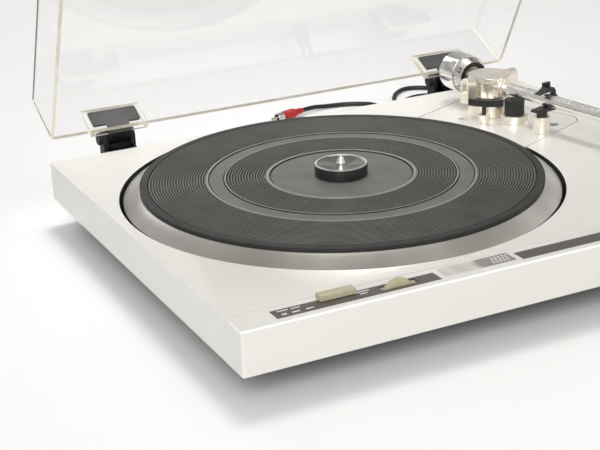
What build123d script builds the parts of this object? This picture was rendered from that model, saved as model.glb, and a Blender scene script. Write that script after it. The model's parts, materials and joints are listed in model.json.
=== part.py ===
from build123d import *
import math
import os

os.makedirs("parts", exist_ok=True)

# A direct-drive record player: hinged clear cover, arm parked on its rest, phono leads put away behind.

# ---- Driving dimensions, in millimetres ----
# The origin is on the table, under the middle of the player with its cover open. +X is right, +Y is back.
WIDTH = 430.0
DEPTH = 355.0
SKIRT_Z = 22.0  # lower edge of the painted cabinet
TOP = 51.0  # its top surface
FRONT = -205.0
REAR = FRONT + DEPTH
SEAM = FRONT + 23.5  # joint between the front strip and the cabinet top
WALL = 3.5
DECK = 4.0
CORNER_R = 1.6

PLATTER_X, PLATTER_Y = -48.3, -14.4
CUTOUT_R = 159.6
PLATTER_R = 157.0
MAT_R = 144.75
MAT_Z = 56.5  # underside of the rubber mat
MAT_TOP = 59.5
WELL_Z = 27.0  # floor of the platter well
SPINDLE_R = 3.5
RUNNING = 0.05  # radial clearance of a shaft in its hole

PIVOT_X, PIVOT_Y = 138.2, 75.0
ARM_Z = 76.2
ARM_ANGLE = 278.6  # the parked tube's direction, degrees round from +X
TUBE_R = 4.85
TUBE_START, TUBE_END = 22.0, 176.0
BEND = 182.6  # from the pivot to where the headshell turns inwards
OFFSET = 27.5  # how far it turns, degrees
STYLUS = 42.0  # from that bend to the stylus
STYLUS_Z = 61.3
POST_Y = PIVOT_Y - 66.5

HINGE_Y, HINGE_Z = 170.9, 55.7
OPENING = 63.5  # degrees that the cover stands open
HINGE_XS = {"left": -152.0, "right": 154.0}
COVER_W = 418.4
COVER_WALL = 3.0

LEAD_R = 2.1


def along(angle):
    """A unit vector in the floor plane, at so many degrees round from +X."""
    return Vector(math.cos(math.radians(angle)), math.sin(math.radians(angle)), 0)


def level(height):
    """A horizontal plane at a height above the table."""
    return Plane.XY.offset(height)


def facing(x, y, z, direction, side):
    """An upright plane at a point, its normal along direction and its own X along side."""
    return Plane(origin=(x, y, z), x_dir=side, z_dir=direction)


TUBE = along(ARM_ANGLE)
OUTWARD = along(ARM_ANGLE + 90)
SHELL = along(ARM_ANGLE - OFFSET)
PIVOT = Vector(PIVOT_X, PIVOT_Y, ARM_Z)
BACK = Vector(0, 1, 0)


def across_tube(distance, height=0.0):
    """The plane square to the arm tube at a distance from the pivot: X outwards, Y up."""
    return Plane(origin=PIVOT + TUBE * distance + Vector(0, 0, height), x_dir=OUTWARD, z_dir=TUBE)


def beside_pivot(distance):
    """The upright plane parallel to the tube at a distance outwards from the pivot: Y up."""
    return Plane(origin=PIVOT + OUTWARD * distance, x_dir=TUBE * -1, z_dir=OUTWARD)


def save(part, name):
    """Label a finished piece and write it to its own file."""
    part.label = name
    export_step(part, f"parts/{name}.step")


# ---- Cabinet ----
cabinet_y0 = SEAM + 0.4
cabinet_mid = (cabinet_y0 + REAR) / 2
cabinet_d = REAR - cabinet_y0
PANEL_ANGLE = 23.4
PANEL_T = 2.0
PANEL_END = 236.0  # from the platter's centre to the arm panel's far edge
PANEL_LOW, PANEL_HIGH = -64.0, 48.5
PANEL_R = 16.0
panel_dir = along(PANEL_ANGLE)
panel_plane = Plane(
    origin=(PLATTER_X, PLATTER_Y, TOP - PANEL_T), x_dir=panel_dir, z_dir=(0, 0, 1)
)
BOSS_R = 62.0
OUTLET_Z = 33.0
OUTLETS = {63.5: 15.0, -118.0: 11.0}  # phono and mains outlets: place and width
SCREW_HOLES = [(110.0, 73.0), (163.0, 20.0)]

with BuildPart() as cabinet:
    with BuildSketch(level(SKIRT_Z)):
        with Locations((0, cabinet_mid)):
            Rectangle(WIDTH, cabinet_d)
    extrude(amount=TOP - SKIRT_Z)
    rear_corners = cabinet.edges().filter_by(Axis.Z).sort_by(Axis.Y)[-2:]
    fillet(rear_corners, CORNER_R)
    with BuildSketch(level(SKIRT_Z)):
        with Locations((0, (cabinet_y0 + REAR - WALL) / 2 + 1)):
            Rectangle(WIDTH - 2 * WALL, cabinet_d - WALL - 2)
    extrude(amount=TOP - DECK - SKIRT_Z, mode=Mode.SUBTRACT)
    with BuildSketch(level(SKIRT_Z)):
        with Locations((0, cabinet_y0)):
            Rectangle(WIDTH - 2 * WALL, 6)
    extrude(amount=8, mode=Mode.SUBTRACT)
    with BuildSketch(level(WELL_Z - 2)):
        with Locations((PLATTER_X, PLATTER_Y)):
            Circle(CUTOUT_R + 2.5)
    extrude(amount=TOP - WELL_Z + 1)
    with BuildSketch(level(WELL_Z)):
        with Locations((PLATTER_X, PLATTER_Y)):
            Circle(CUTOUT_R)
    extrude(amount=TOP - WELL_Z + 5, mode=Mode.SUBTRACT)
    with BuildSketch(level(WELL_Z - 3)):
        with Locations((PLATTER_X, PLATTER_Y)):
            Circle(10.2)
    extrude(amount=5, mode=Mode.SUBTRACT)
    with BuildSketch(level(WELL_Z - 0.5)):
        with Locations((PLATTER_X, PLATTER_Y)):
            with PolarLocations(BOSS_R, 4, start_angle=45):
                Circle(3)
    extrude(amount=9.5)
    with BuildSketch(panel_plane):
        with BuildLine():
            corner_in = (140, PANEL_LOW - 0.5)
            Polyline(
                corner_in,
                (PANEL_END + 0.5, PANEL_LOW - 0.5),
                (PANEL_END + 0.5, PANEL_HIGH + 0.5),
                (140, PANEL_HIGH + 0.5),
                close=True,
            )
        make_face()
        far = vertices().sort_by(Axis(panel_plane.origin, panel_dir))[-2:]
        fillet(far, PANEL_R)
    extrude(amount=PANEL_T + 1, mode=Mode.SUBTRACT)
    with BuildSketch(level(TOP - DECK - 1)):
        with Locations((PIVOT_X, PIVOT_Y)):
            Circle(12.2)
        with Locations(*SCREW_HOLES):
            Circle(2.2)
    extrude(amount=DECK + 2, mode=Mode.SUBTRACT)
    for outlet_x, outlet_w in OUTLETS.items():
        with BuildSketch(facing(outlet_x, REAR - WALL - 1, OUTLET_Z, (0, 1, 0), (-1, 0, 0))):
            RectangleRounded(outlet_w + 0.2, 8.6, 3)
        extrude(amount=WALL + 2, mode=Mode.SUBTRACT)
save(cabinet.part, "cabinet")

# ---- Front control strip ----
PLATE_Z = TOP - 1.0
LEVER_X, LEVER_LEN, LEVER_TRAVEL = -146.0, 24.0, 10.0
CUE_X = 106.0
WHEEL_X, WHEEL_Y, WHEEL_R, WHEEL_T = -105.5, FRONT + 12.0, 11.2, 5.0
WHEEL_Z = TOP + 4.2 - WHEEL_R
WINDOW_X0, WINDOW_X1 = -74.0, -23.0
WINDOW_Y, WINDOW_D = FRONT + 14.0, 12.6
START_X, STOP_X, KEY_W, KEY_D = 148.0, 172.0, 18.0, 7.0
PLATE_Y, PLATE_D = FRONT + 11.5, 11.0
STEM_Y = FRONT + 15.5

with BuildPart() as front_strip:
    with BuildSketch(level(SKIRT_Z)):
        with Locations((0, (FRONT + SEAM - 0.4) / 2)):
            Rectangle(WIDTH, SEAM - 0.4 - FRONT)
    extrude(amount=TOP - SKIRT_Z)
    fillet(front_strip.edges().filter_by(Axis.Z).sort_by(Axis.Y)[:2], CORNER_R)
    top_front = front_strip.faces().sort_by(Axis.Z)[-1].edges().sort_by(Axis.Y)[0]
    chamfer(top_front, 0.9)
    with BuildSketch(level(SKIRT_Z)):
        with Locations((0, (FRONT + WALL + SEAM) / 2 + 1)):
            Rectangle(WIDTH - 2 * WALL, SEAM - FRONT - WALL + 2)
    extrude(amount=TOP - 3 - SKIRT_Z, mode=Mode.SUBTRACT)
    with BuildSketch(level(PLATE_Z)):
        with Locations(((-189.2 - 78.3) / 2, PLATE_Y)):
            Rectangle(110.9, PLATE_D + 0.4)
        with Locations(((-19.2 + 190.2) / 2, PLATE_Y)):
            Rectangle(209.4, PLATE_D + 0.4)
    extrude(amount=2, mode=Mode.SUBTRACT)
    with BuildSketch(level(TOP - 4)):
        with Locations((LEVER_X + 4, STEM_Y), (CUE_X + 4, STEM_Y)):
            Rectangle(17, 2.4)
        with Locations((WHEEL_X, WHEEL_Y)):
            Rectangle(25, WHEEL_T + 1.6)
        with Locations(((WINDOW_X0 + WINDOW_X1) / 2, WINDOW_Y)):
            Rectangle(WINDOW_X1 - WINDOW_X0 + 0.4, WINDOW_D + 0.4)
        with Locations((START_X, PLATE_Y), (STOP_X, PLATE_Y)):
            Rectangle(KEY_W + 0.8, KEY_D + 0.8)
    extrude(amount=6, mode=Mode.SUBTRACT)
save(front_strip.part, "front_strip")

with BuildPart() as speed_plate:
    with BuildSketch(level(PLATE_Z)):
        with Locations(((-189.0 - 78.5) / 2, PLATE_Y)):
            Rectangle(110.5, PLATE_D)
        with Locations((LEVER_X + 4, STEM_Y)):
            Rectangle(17, 2.4, mode=Mode.SUBTRACT)
        with Locations((WHEEL_X, WHEEL_Y)):
            Rectangle(25, WHEEL_T + 1.6, mode=Mode.SUBTRACT)
    extrude(amount=1.2)
save(speed_plate.part, "speed_plate")

with BuildPart() as control_plate:
    with BuildSketch(level(PLATE_Z)):
        with Locations(((-19.0 + 190.0) / 2, PLATE_Y)):
            Rectangle(209, PLATE_D)
        with Locations((CUE_X + 4, STEM_Y)):
            Rectangle(17, 2.4, mode=Mode.SUBTRACT)
        with Locations((START_X, PLATE_Y), (STOP_X, PLATE_Y)):
            Rectangle(KEY_W + 0.8, KEY_D + 0.8, mode=Mode.SUBTRACT)
    extrude(amount=1.2)
save(control_plate.part, "control_plate")

for lever_name, lever_x in (("speed_lever", LEVER_X), ("cue_lever", CUE_X)):
    with BuildPart() as lever:
        with BuildSketch(level(TOP + 0.6)):
            with Locations((lever_x, FRONT + 15.8)):
                Rectangle(LEVER_LEN, 6.4)
        extrude(amount=3.8)
        fillet(lever.edges().group_by(Axis.Z)[-1], 0.5)
        with BuildSketch(level(45.6)):
            with Locations((lever_x - 1, STEM_Y)):
                Rectangle(5, 1.6)
        extrude(amount=7)
    save(lever.part, lever_name)

with BuildPart() as slide_switches:
    for switch_x in (LEVER_X + 4, CUE_X + 4):
        with BuildSketch(level(36)):
            with Locations((switch_x, STEM_Y - 1)):
                Rectangle(30, 9)
        extrude(amount=9.4)
        with BuildSketch(level(42)):
            with Locations((switch_x, STEM_Y)):
                Rectangle(17, 2.4)
        extrude(amount=5, mode=Mode.SUBTRACT)
        with BuildSketch(level(45.4)):
            with Locations((switch_x - 13.5, STEM_Y - 1), (switch_x + 13.5, STEM_Y - 1)):
                Rectangle(3, 9)
        extrude(amount=2.6)
save(slide_switches.part, "slide_switches")

with BuildPart() as pitch_wheel:
    with BuildSketch(facing(WHEEL_X, WHEEL_Y + WHEEL_T / 2, WHEEL_Z, (0, -1, 0), (1, 0, 0))):
        Circle(WHEEL_R - 0.35)
        with PolarLocations(WHEEL_R - 0.35, 36):
            Circle(0.35)
        Circle(1.5 + RUNNING, mode=Mode.SUBTRACT)
    extrude(amount=WHEEL_T)
save(pitch_wheel.part, "pitch_wheel")

with BuildPart() as pitch_potentiometer:
    with BuildSketch(facing(WHEEL_X, WHEEL_Y + WHEEL_T / 2 + 0.5, WHEEL_Z - 1, (0, 1, 0), (-1, 0, 0))):
        Rectangle(12, 9.6)
    extrude(amount=6)
    with BuildSketch(facing(WHEEL_X, WHEEL_Y - WHEEL_T / 2 - 0.3, WHEEL_Z, (0, 1, 0), (-1, 0, 0))):
        Circle(1.5)
    extrude(amount=WHEEL_T + 1.2)
save(pitch_potentiometer.part, "pitch_potentiometer")

with BuildPart() as strobe_window:
    with BuildSketch(level(TOP - 2.8)):
        with Locations(((WINDOW_X0 + WINDOW_X1) / 2, WINDOW_Y)):
            Rectangle(WINDOW_X1 - WINDOW_X0, WINDOW_D)
    extrude(amount=2.9)
save(strobe_window.part, "strobe_window")

with BuildPart() as strobe_lamp:
    with BuildSketch(level(36)):
        with Locations(((WINDOW_X0 + WINDOW_X1) / 2, WINDOW_Y)):
            Rectangle(WINDOW_X1 - WINDOW_X0 - 2, WINDOW_D - 2)
    extrude(amount=12)
    with BuildSketch(level(38)):
        with Locations(((WINDOW_X0 + WINDOW_X1) / 2, WINDOW_Y)):
            Rectangle(WINDOW_X1 - WINDOW_X0 - 5, WINDOW_D - 5)
    extrude(amount=11, mode=Mode.SUBTRACT)
    with BuildSketch(facing(-36, WINDOW_Y, 41.5, (-1, 0, 0), (0, 1, 0))):
        Circle(2.2)
    extrude(amount=24)
    with BuildSketch(level(37)):
        with Locations((-60, WINDOW_Y), (-36, WINDOW_Y)):
            Rectangle(2, 4)
    extrude(amount=4.5)
save(strobe_lamp.part, "strobe_lamp")

for key_name, key_x in (("start_button", START_X), ("stop_button", STOP_X)):
    with BuildPart() as key:
        with BuildSketch(level(TOP - 2.6)):
            with Locations((key_x, PLATE_Y)):
                Rectangle(KEY_W, KEY_D)
        extrude(amount=5.2)
        fillet(key.edges().group_by(Axis.Z)[-1], 0.6)
        with BuildSketch(level(44.2)):
            with Locations((key_x, PLATE_Y)):
                Rectangle(4, 4)
        extrude(amount=4.5)
    save(key.part, key_name)

with BuildPart() as control_board:
    with BuildSketch(level(36)):
        with Locations((START_X + 12, PLATE_Y)):
            Rectangle(66, 13)
    extrude(amount=1.6)
    with BuildSketch(level(37.6)):
        with Locations((START_X, PLATE_Y), (STOP_X, PLATE_Y)):
            Rectangle(6, 6)
    extrude(amount=3.6)
    with BuildSketch(level(37.6)):
        with Locations((START_X, PLATE_Y), (STOP_X, PLATE_Y)):
            Circle(1.7)
    extrude(amount=4.4)
    with BuildSketch(level(37.6)):
        with Locations((START_X - 18, PLATE_Y), (STOP_X + 18, PLATE_Y)):
            Circle(2)
    extrude(amount=10.4)
save(control_board.part, "control_board")

# ---- Bottom: pan, feet and screws ----
PAN_Z = 13.0
FEET = [(-158.0, -126.0), (158.0, -126.0), (-172.0, 94.0), (172.0, 94.0)]
TRANSFORMER = (-181.0, 117.0)
POWER_BOARD = (165.0, -62.0)
PAN_X, PAN_Y0, PAN_Y1 = 203.0, FRONT + 34.0, REAR - 12.0

with BuildPart() as base_pan:
    with BuildSketch(level(PAN_Z)):
        with Locations((0, (PAN_Y0 + PAN_Y1) / 2)):
            RectangleRounded(2 * PAN_X, PAN_Y1 - PAN_Y0, 8)
    extrude(amount=12)
    with BuildSketch(level(PAN_Z + 9.6)):
        with Locations((0, (FRONT + REAR) / 2)):
            RectangleRounded(WIDTH - 2 * WALL - 1, DEPTH - 2 * WALL - 1, 4)
    extrude(amount=2.4)
    with BuildSketch(level(PAN_Z + 2.5)):
        with Locations((0, (PAN_Y0 + PAN_Y1) / 2)):
            RectangleRounded(2 * PAN_X - 5, PAN_Y1 - PAN_Y0 - 5, 6)
    extrude(amount=12, mode=Mode.SUBTRACT)
    with BuildSketch(level(PAN_Z + 2)):
        with Locations(*FEET):
            Circle(5)
        with Locations(POWER_BOARD):
            with GridLocations(58, 84, 2, 2):
                Circle(2.5)
    extrude(amount=5.5)
    with BuildSketch(level(PAN_Z - 1)):
        with Locations(*FEET):
            Circle(1.8)
    extrude(amount=12, mode=Mode.SUBTRACT)
    with BuildSketch(level(PAN_Z - 1)):
        for row in range(8):
            with Locations((-20, 40 + 8 * row)):
                SlotOverall(60, 3)
    extrude(amount=4, mode=Mode.SUBTRACT)
save(base_pan.part, "base_pan")

with BuildPart() as feet:
    with BuildSketch(level(3)):
        with Locations(*FEET):
            Circle(22)
    extrude(amount=PAN_Z - 3)
    with BuildSketch(level(2)):
        with Locations(*FEET):
            Circle(19.2)
    extrude(amount=4, mode=Mode.SUBTRACT)
    with BuildSketch(level(2)):
        with Locations(*FEET):
            Circle(1.8)
    extrude(amount=12, mode=Mode.SUBTRACT)
save(feet.part, "feet")

with BuildPart() as foot_pads:
    with BuildSketch(level(0)):
        with Locations(*FEET):
            Circle(19.2)
            Circle(4, mode=Mode.SUBTRACT)
    extrude(amount=6)
save(foot_pads.part, "foot_pads")

with BuildPart() as case_screws:
    with BuildSketch(level(4.2)):
        with Locations(*FEET):
            Circle(3.4)
    extrude(amount=1.8)
    with BuildSketch(level(6)):
        with Locations(*FEET):
            Circle(1.8)
    extrude(amount=14.5)
    with BuildSketch(level(TOP - 3.2)):
        with Locations(*SCREW_HOLES):
            Circle(1.75)
    extrude(amount=1.4)
    with BuildSketch(level(TOP - 12)):
        with Locations(*SCREW_HOLES):
            Circle(1.75)
    extrude(amount=9)
save(case_screws.part, "case_screws")

# ---- Motor, power and boards ----
CENTRE = (PLATTER_X, PLATTER_Y)
MAGNET_IN, MAGNET_OUT = 30.0, 50.0

with BuildPart() as bearing_housing:
    with BuildSketch(level(17)):
        with Locations(CENTRE):
            Circle(10)
    extrude(amount=31)
    with BuildSketch(level(WELL_Z)):
        with Locations(CENTRE):
            Circle(21)
    extrude(amount=3)
    with BuildSketch(level(19)):
        with Locations(CENTRE):
            Circle(SPINDLE_R + RUNNING)
    extrude(amount=30, mode=Mode.SUBTRACT)
save(bearing_housing.part, "bearing_housing")

with BuildPart() as motor_board:
    with BuildSketch(level(WELL_Z + 9)):
        with Locations(CENTRE):
            Circle(70)
            Circle(22, mode=Mode.SUBTRACT)
    extrude(amount=1.6)
    with BuildSketch(level(WELL_Z + 10.6)):
        with Locations(CENTRE):
            with PolarLocations(60, 5, start_angle=20):
                Rectangle(7, 4)
    extrude(amount=3)
save(motor_board.part, "motor_board")

with BuildPart() as motor_coils:
    with BuildSketch(level(WELL_Z + 10.6)):
        with Locations(CENTRE):
            with PolarLocations(40, 6):
                SlotOverall(20, 15, rotation=90)
                SlotOverall(9, 4, rotation=90, mode=Mode.SUBTRACT)
    extrude(amount=5)
save(motor_coils.part, "motor_coils")

with BuildPart() as transformer:
    with BuildSketch(level(PAN_Z + 2.5)):
        with Locations(TRANSFORMER):
            Rectangle(38, 22)
    extrude(amount=27)
    with BuildSketch(level(PAN_Z + 9)):
        with Locations(TRANSFORMER):
            RectangleRounded(28, 32, 4)
    extrude(amount=14)
save(transformer.part, "transformer")

with BuildPart() as power_board:
    with BuildSketch(level(PAN_Z + 7.5)):
        with Locations(POWER_BOARD):
            Rectangle(64, 92)
    extrude(amount=1.6)
    with BuildSketch(level(PAN_Z + 9.1)):
        with Locations((155, -35), (155, -55)):
            Circle(7)
    extrude(amount=17)
    with BuildSketch(level(PAN_Z + 9.1)):
        with Locations((180, -40)):
            Rectangle(24, 5)
        with Locations((176, -80)):
            Rectangle(20, 12)
    extrude(amount=14)
save(power_board.part, "power_board")

# ---- Platter ----
with BuildPart() as platter:
    with BuildSketch(facing(PLATTER_X, PLATTER_Y, 0, (0, -1, 0), (1, 0, 0))):
        with BuildLine():
            Polyline(
                (SPINDLE_R, 49),
                (SPINDLE_R, MAT_Z),
                (146.5, MAT_Z),
                (PLATTER_R, TOP + 0.8),
                (PLATTER_R, 31),
                (PLATTER_R - 3.5, 31),
                (PLATTER_R - 3.5, 50),
                (145, 53),
                (12, 53),
                (12, 49),
                close=True,
            )
        make_face()
    revolve(axis=Axis((PLATTER_X, PLATTER_Y, 0), (0, 0, 1)))
save(platter.part, "platter")

with BuildPart() as rotor_magnet:
    with BuildSketch(level(45)):
        with Locations(CENTRE):
            Circle(MAGNET_OUT)
            Circle(MAGNET_IN, mode=Mode.SUBTRACT)
    extrude(amount=8)
save(rotor_magnet.part, "rotor_magnet")

with BuildPart() as spindle:
    with BuildSketch(facing(PLATTER_X, PLATTER_Y, 0, (0, -1, 0), (1, 0, 0))):
        with BuildLine():
            Polyline(
                (0, 19.2),
                (SPINDLE_R, 19.2),
                (SPINDLE_R, 69.2),
                (1.2, 72.6),
                (0, 72.6),
                close=True,
            )
        make_face()
    revolve(axis=Axis((PLATTER_X, PLATTER_Y, 0), (0, 0, 1)))
save(spindle.part, "spindle")

with BuildPart() as platter_mat:
    with BuildSketch(facing(PLATTER_X, PLATTER_Y, 0, (0, -1, 0), (1, 0, 0))):
        with BuildLine():
            Polyline(
                (3.8, MAT_Z),
                (3.8, MAT_TOP - 0.8),
                (51, MAT_TOP - 0.8),
                (51.5, MAT_TOP),
                (83, MAT_TOP),
                (83.5, MAT_TOP - 0.6),
                (96.5, MAT_TOP - 0.6),
                (97, MAT_TOP),
                (MAT_R - 0.5, MAT_TOP),
                (MAT_R, MAT_TOP - 0.5),
                (MAT_R, MAT_Z),
                close=True,
            )
        make_face()
    revolve(axis=Axis((PLATTER_X, PLATTER_Y, 0), (0, 0, 1)))
save(platter_mat.part, "platter_mat")

ADAPTER_R = 19.05
with BuildPart() as record_adapter:
    with BuildSketch(facing(PLATTER_X, PLATTER_Y, 0, (0, -1, 0), (1, 0, 0))):
        with BuildLine():
            Polyline(
                (SPINDLE_R + 0.1, MAT_TOP - 0.7),
                (SPINDLE_R + 0.1, 65.6),
                (9, 66),
                (15.5, 67.1),
                (16.2, 67.4),
                (18.4, 67.4),
                (ADAPTER_R, 66.8),
                (ADAPTER_R, MAT_TOP - 0.7),
                close=True,
            )
        make_face()
    revolve(axis=Axis((PLATTER_X, PLATTER_Y, 0), (0, 0, 1)))
save(record_adapter.part, "record_adapter")

# ---- Arm panel and what stands on it ----
BASE_TOP = TOP + 12.5
LIFT_IN, LIFT_OUT = 28.8, 32.0
LIFT_Z0, LIFT_Z1 = 65.0, 70.7
LIFT_FROM, LIFT_TO = 204.0, 257.5
POST_SIDE = 5.0  # the rest stands this far inside the parked tube
lift_post = PIVOT + along(228.5) * 30.4
skate = (141.0, 43.0)
rest = PIVOT + TUBE * 66.5 - OUTWARD * POST_SIDE

with BuildPart() as tonearm_panel:
    with BuildSketch(panel_plane):
        with BuildLine():
            Polyline(
                (140, PANEL_LOW),
                (PANEL_END, PANEL_LOW),
                (PANEL_END, PANEL_HIGH),
                (140, PANEL_HIGH),
                close=True,
            )
        make_face()
        fillet(vertices().sort_by(Axis(panel_plane.origin, panel_dir))[-2:], PANEL_R - 0.5)
    extrude(amount=PANEL_T)
    with BuildSketch(level(TOP - PANEL_T - 1)):
        with Locations(CENTRE):
            Circle(CUTOUT_R)
        with Locations((PIVOT_X, PIVOT_Y)):
            Circle(12.2)
        with Locations(SCREW_HOLES[0]):
            Circle(2.6)
        with Locations(SCREW_HOLES[1]):
            Circle(4.2)
    extrude(amount=PANEL_T + 2, mode=Mode.SUBTRACT)
save(tonearm_panel.part, "tonearm_panel")

with BuildPart() as arm_base:
    with BuildSketch(level(TOP)):
        with Locations((PIVOT_X, PIVOT_Y)):
            Circle(17.5)
    extrude(amount=BASE_TOP - TOP, taper=1.5)
    fillet(arm_base.edges().group_by(Axis.Z)[-1], 0.6)
    with BuildSketch(level(38)):
        with Locations((PIVOT_X, PIVOT_Y)):
            Circle(12)
    extrude(amount=TOP - 38)
    with BuildSketch(level(38)):
        with Locations((PIVOT_X, PIVOT_Y)):
            RegularPolygon(17, 6)
    extrude(amount=8)
    with BuildSketch(level(37)):
        with Locations((PIVOT_X, PIVOT_Y)):
            Circle(4 + RUNNING)
    extrude(amount=30, mode=Mode.SUBTRACT)
save(arm_base.part, "arm_base")

with BuildPart() as lift_cylinder:
    with BuildSketch(level(TOP)):
        with Locations((lift_post.X, lift_post.Y)):
            Circle(4.6)
    extrude(amount=7.8)
    with BuildSketch(level(TOP - 1)):
        with Locations((lift_post.X, lift_post.Y)):
            Circle(1.8 + RUNNING)
    extrude(amount=10, mode=Mode.SUBTRACT)
    fillet(lift_cylinder.edges().group_by(Axis.Z)[-1].sort_by(SortBy.LENGTH)[-1], 0.5)
save(lift_cylinder.part, "lift_cylinder")

with BuildPart() as lift_bar:
    with BuildSketch(level(LIFT_Z0)):
        with Locations((PIVOT_X, PIVOT_Y)):
            Circle(LIFT_OUT)
            Circle(LIFT_IN, mode=Mode.SUBTRACT)
        with BuildLine():
            near = Vector(PIVOT_X, PIVOT_Y, 0)
            edge_a = near + along(LIFT_FROM) * 60
            middle = near + along((LIFT_FROM + LIFT_TO) / 2) * 60
            edge_b = near + along(LIFT_TO) * 60
            Polyline(near, edge_a, middle, edge_b, close=True)
        make_face(mode=Mode.INTERSECT)
    extrude(amount=LIFT_Z1 - LIFT_Z0)
    with BuildSketch(level(TOP + 1)):
        with Locations((lift_post.X, lift_post.Y)):
            Circle(1.8)
    extrude(amount=LIFT_Z0 - TOP)
save(lift_bar.part, "lift_bar")

with BuildPart() as anti_skate_disc:
    with BuildSketch(level(TOP)):
        with Locations(skate):
            Circle(11.2)
    extrude(amount=6.5)
    fillet(anti_skate_disc.edges().group_by(Axis.Z)[-1], 0.6)
    with BuildSketch(level(TOP)):
        with Locations((skate[0] + 5.6, skate[1] - 10.6)):
            Circle(1.7)
    extrude(amount=2.2)
    with BuildSketch(level(TOP - 1)):
        with Locations(skate):
            Circle(2 + RUNNING)
    extrude(amount=9, mode=Mode.SUBTRACT)
save(anti_skate_disc.part, "anti_skate_disc")

with BuildPart() as anti_skate_knob:
    with BuildSketch(level(TOP + 6.7)):
        with Locations(skate):
            Circle(8)
            with PolarLocations(8.25, 18):
                Circle(0.75, mode=Mode.SUBTRACT)
    extrude(amount=12)
    with BuildSketch(level(TOP + 1)):
        with Locations(skate):
            Circle(2)
    extrude(amount=6)
save(anti_skate_knob.part, "anti_skate_knob")

with BuildPart() as arm_rest_post:
    with BuildSketch(level(TOP)):
        with Locations((rest.X, rest.Y)):
            Circle(6.9)
    extrude(amount=12.8, taper=3)
    fillet(arm_rest_post.edges().group_by(Axis.Z)[-1], 0.5)
save(arm_rest_post.part, "arm_rest_post")

# Profiles of the clip are drawn square to the tube: X outwards from its centre line, Y up from it.
CLIP_LEN = 7.0
with BuildPart() as arm_cradle:
    with BuildSketch(level(TOP + 12.8)):
        with Locations((rest.X, rest.Y)):
            Circle(4.3)
    extrude(amount=5.2)
    with BuildSketch(across_tube(66.5 - CLIP_LEN / 2)):
        with BuildLine():
            Polyline(
                (-14.5, -7.6),
                (-13.5, -6.0),
                (-5.0, -5.1),
                (5.3, -5.1),
                (5.3, 3.0),
                (6.6, 4.2),
                (8.3, 3.0),
                (8.3, -7.2),
                (6.5, -8.6),
                (-9.0, -8.6),
                close=True,
            )
        make_face()
        with Locations((6.8, 1.6)):
            Circle(0.9, mode=Mode.SUBTRACT)
    extrude(amount=CLIP_LEN)
    with BuildSketch(across_tube(66.5 - 2)):
        with Locations((6.8, 3.2)):
            Rectangle(4.2, 6.6)
    extrude(amount=4, mode=Mode.SUBTRACT)
save(arm_cradle.part, "arm_cradle")

with BuildPart() as arm_latch:
    with BuildSketch(across_tube(66.5 - 1.7)):
        with Locations((6.8, 1.6)):
            Circle(1.7)
            Circle(0.9 - RUNNING)
        with BuildLine():
            Polyline(
                (5.2, 1.8), (8.4, 1.8), (8.0, 6.6), (6.0, 9.4), (2.4, 9.4), (2.4, 7.0), (5.2, 5.2),
                close=True,
            )
        make_face()
    extrude(amount=3.4)
    with BuildSketch(across_tube(66.5 - CLIP_LEN / 2)):
        with BuildLine():
            Polyline((-2.6, 10.6), (4.6, 9.4), (4.6, 7.0), (-6.0, 7.0), (-10.6, 5.8), (-11.0, 6.5))
            ThreePointArc((-11.0, 6.5), (-6.2, 7.9), (-2.6, 10.6))
        make_face()
    extrude(amount=CLIP_LEN)
    with BuildSketch(across_tube(66.5 - CLIP_LEN / 2)):
        with Locations((1.0, 10.4)):
            Rectangle(7.2, 6.4)
        with Locations((1.0, 11.4)):
            Rectangle(2.2, 2.4, mode=Mode.SUBTRACT)
    extrude(amount=2.4)
save(arm_latch.part, "arm_latch")

# ---- Tonearm ----
with BuildPart() as arm_yoke:
    with BuildSketch(level(30)):
        with Locations((PIVOT_X, PIVOT_Y)):
            Circle(4)
    extrude(amount=35)
    with BuildSketch(level(BASE_TOP + 0.4)):
        with Locations((PIVOT_X, PIVOT_Y)):
            Circle(14.5)
        with Locations(Location((PIVOT_X, PIVOT_Y, 0), (0, 0, ARM_ANGLE))):
            Rectangle(10, 54.4)
    extrude(amount=2.2)
    for side in (-1, 1):
        with BuildSketch(beside_pivot(side * 18.4)):
            with BuildLine():
                Line((-5, BASE_TOP + 0.4 - ARM_Z), (5, BASE_TOP + 0.4 - ARM_Z))
                Line((5, BASE_TOP + 0.4 - ARM_Z), (5, 3.5))
                ThreePointArc((5, 3.5), (0, 8.5), (-5, 3.5))
                Line((-5, 3.5), (-5, BASE_TOP + 0.4 - ARM_Z))
            make_face()
        extrude(amount=side * 8.8)
        with BuildSketch(beside_pivot(side * 18)):
            Circle(2 + RUNNING)
        extrude(amount=side * 4.6, mode=Mode.SUBTRACT)
        with BuildSketch(beside_pivot(side * 24.2)):
            SlotOverall(9.6, 4.6, rotation=90)
        extrude(amount=side * 4, mode=Mode.SUBTRACT)
save(arm_yoke.part, "arm_yoke")

with BuildPart() as arm_pivot:
    with BuildSketch(facing(PIVOT_X, PIVOT_Y, 0, (0, -1, 0), (1, 0, 0))):
        with BuildLine():
            Polyline(
                (0, 67),
                (14.4, 67),
                (15.2, 79.6),
                (17.2, 81.6),
                (17.2, 84.2),
                (16.8, 84.6),
                (0, 84.6),
                close=True,
            )
        make_face()
    revolve(axis=Axis((PIVOT_X, PIVOT_Y, 0), (0, 0, 1)))
    with BuildSketch(across_tube(0)):
        Circle(8.2)
    extrude(amount=18.6)
    with BuildSketch(across_tube(18.6)):
        Circle(6.9)
    extrude(amount=3.4)
    with BuildSketch(beside_pivot(-21.8)):
        Circle(2)
    extrude(amount=43.6)
    with BuildSketch(facing(PIVOT_X, PIVOT_Y, ARM_Z, BACK, (-1, 0, 0))):
        Circle(7)
    extrude(amount=20)
save(arm_pivot.part, "arm_pivot")

with BuildPart() as arm_tube:
    with BuildSketch(across_tube(TUBE_START)):
        Circle(TUBE_R)
        Circle(TUBE_R - 0.8, mode=Mode.SUBTRACT)
    extrude(amount=TUBE_END - TUBE_START)
save(arm_tube.part, "arm_tube")

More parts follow.
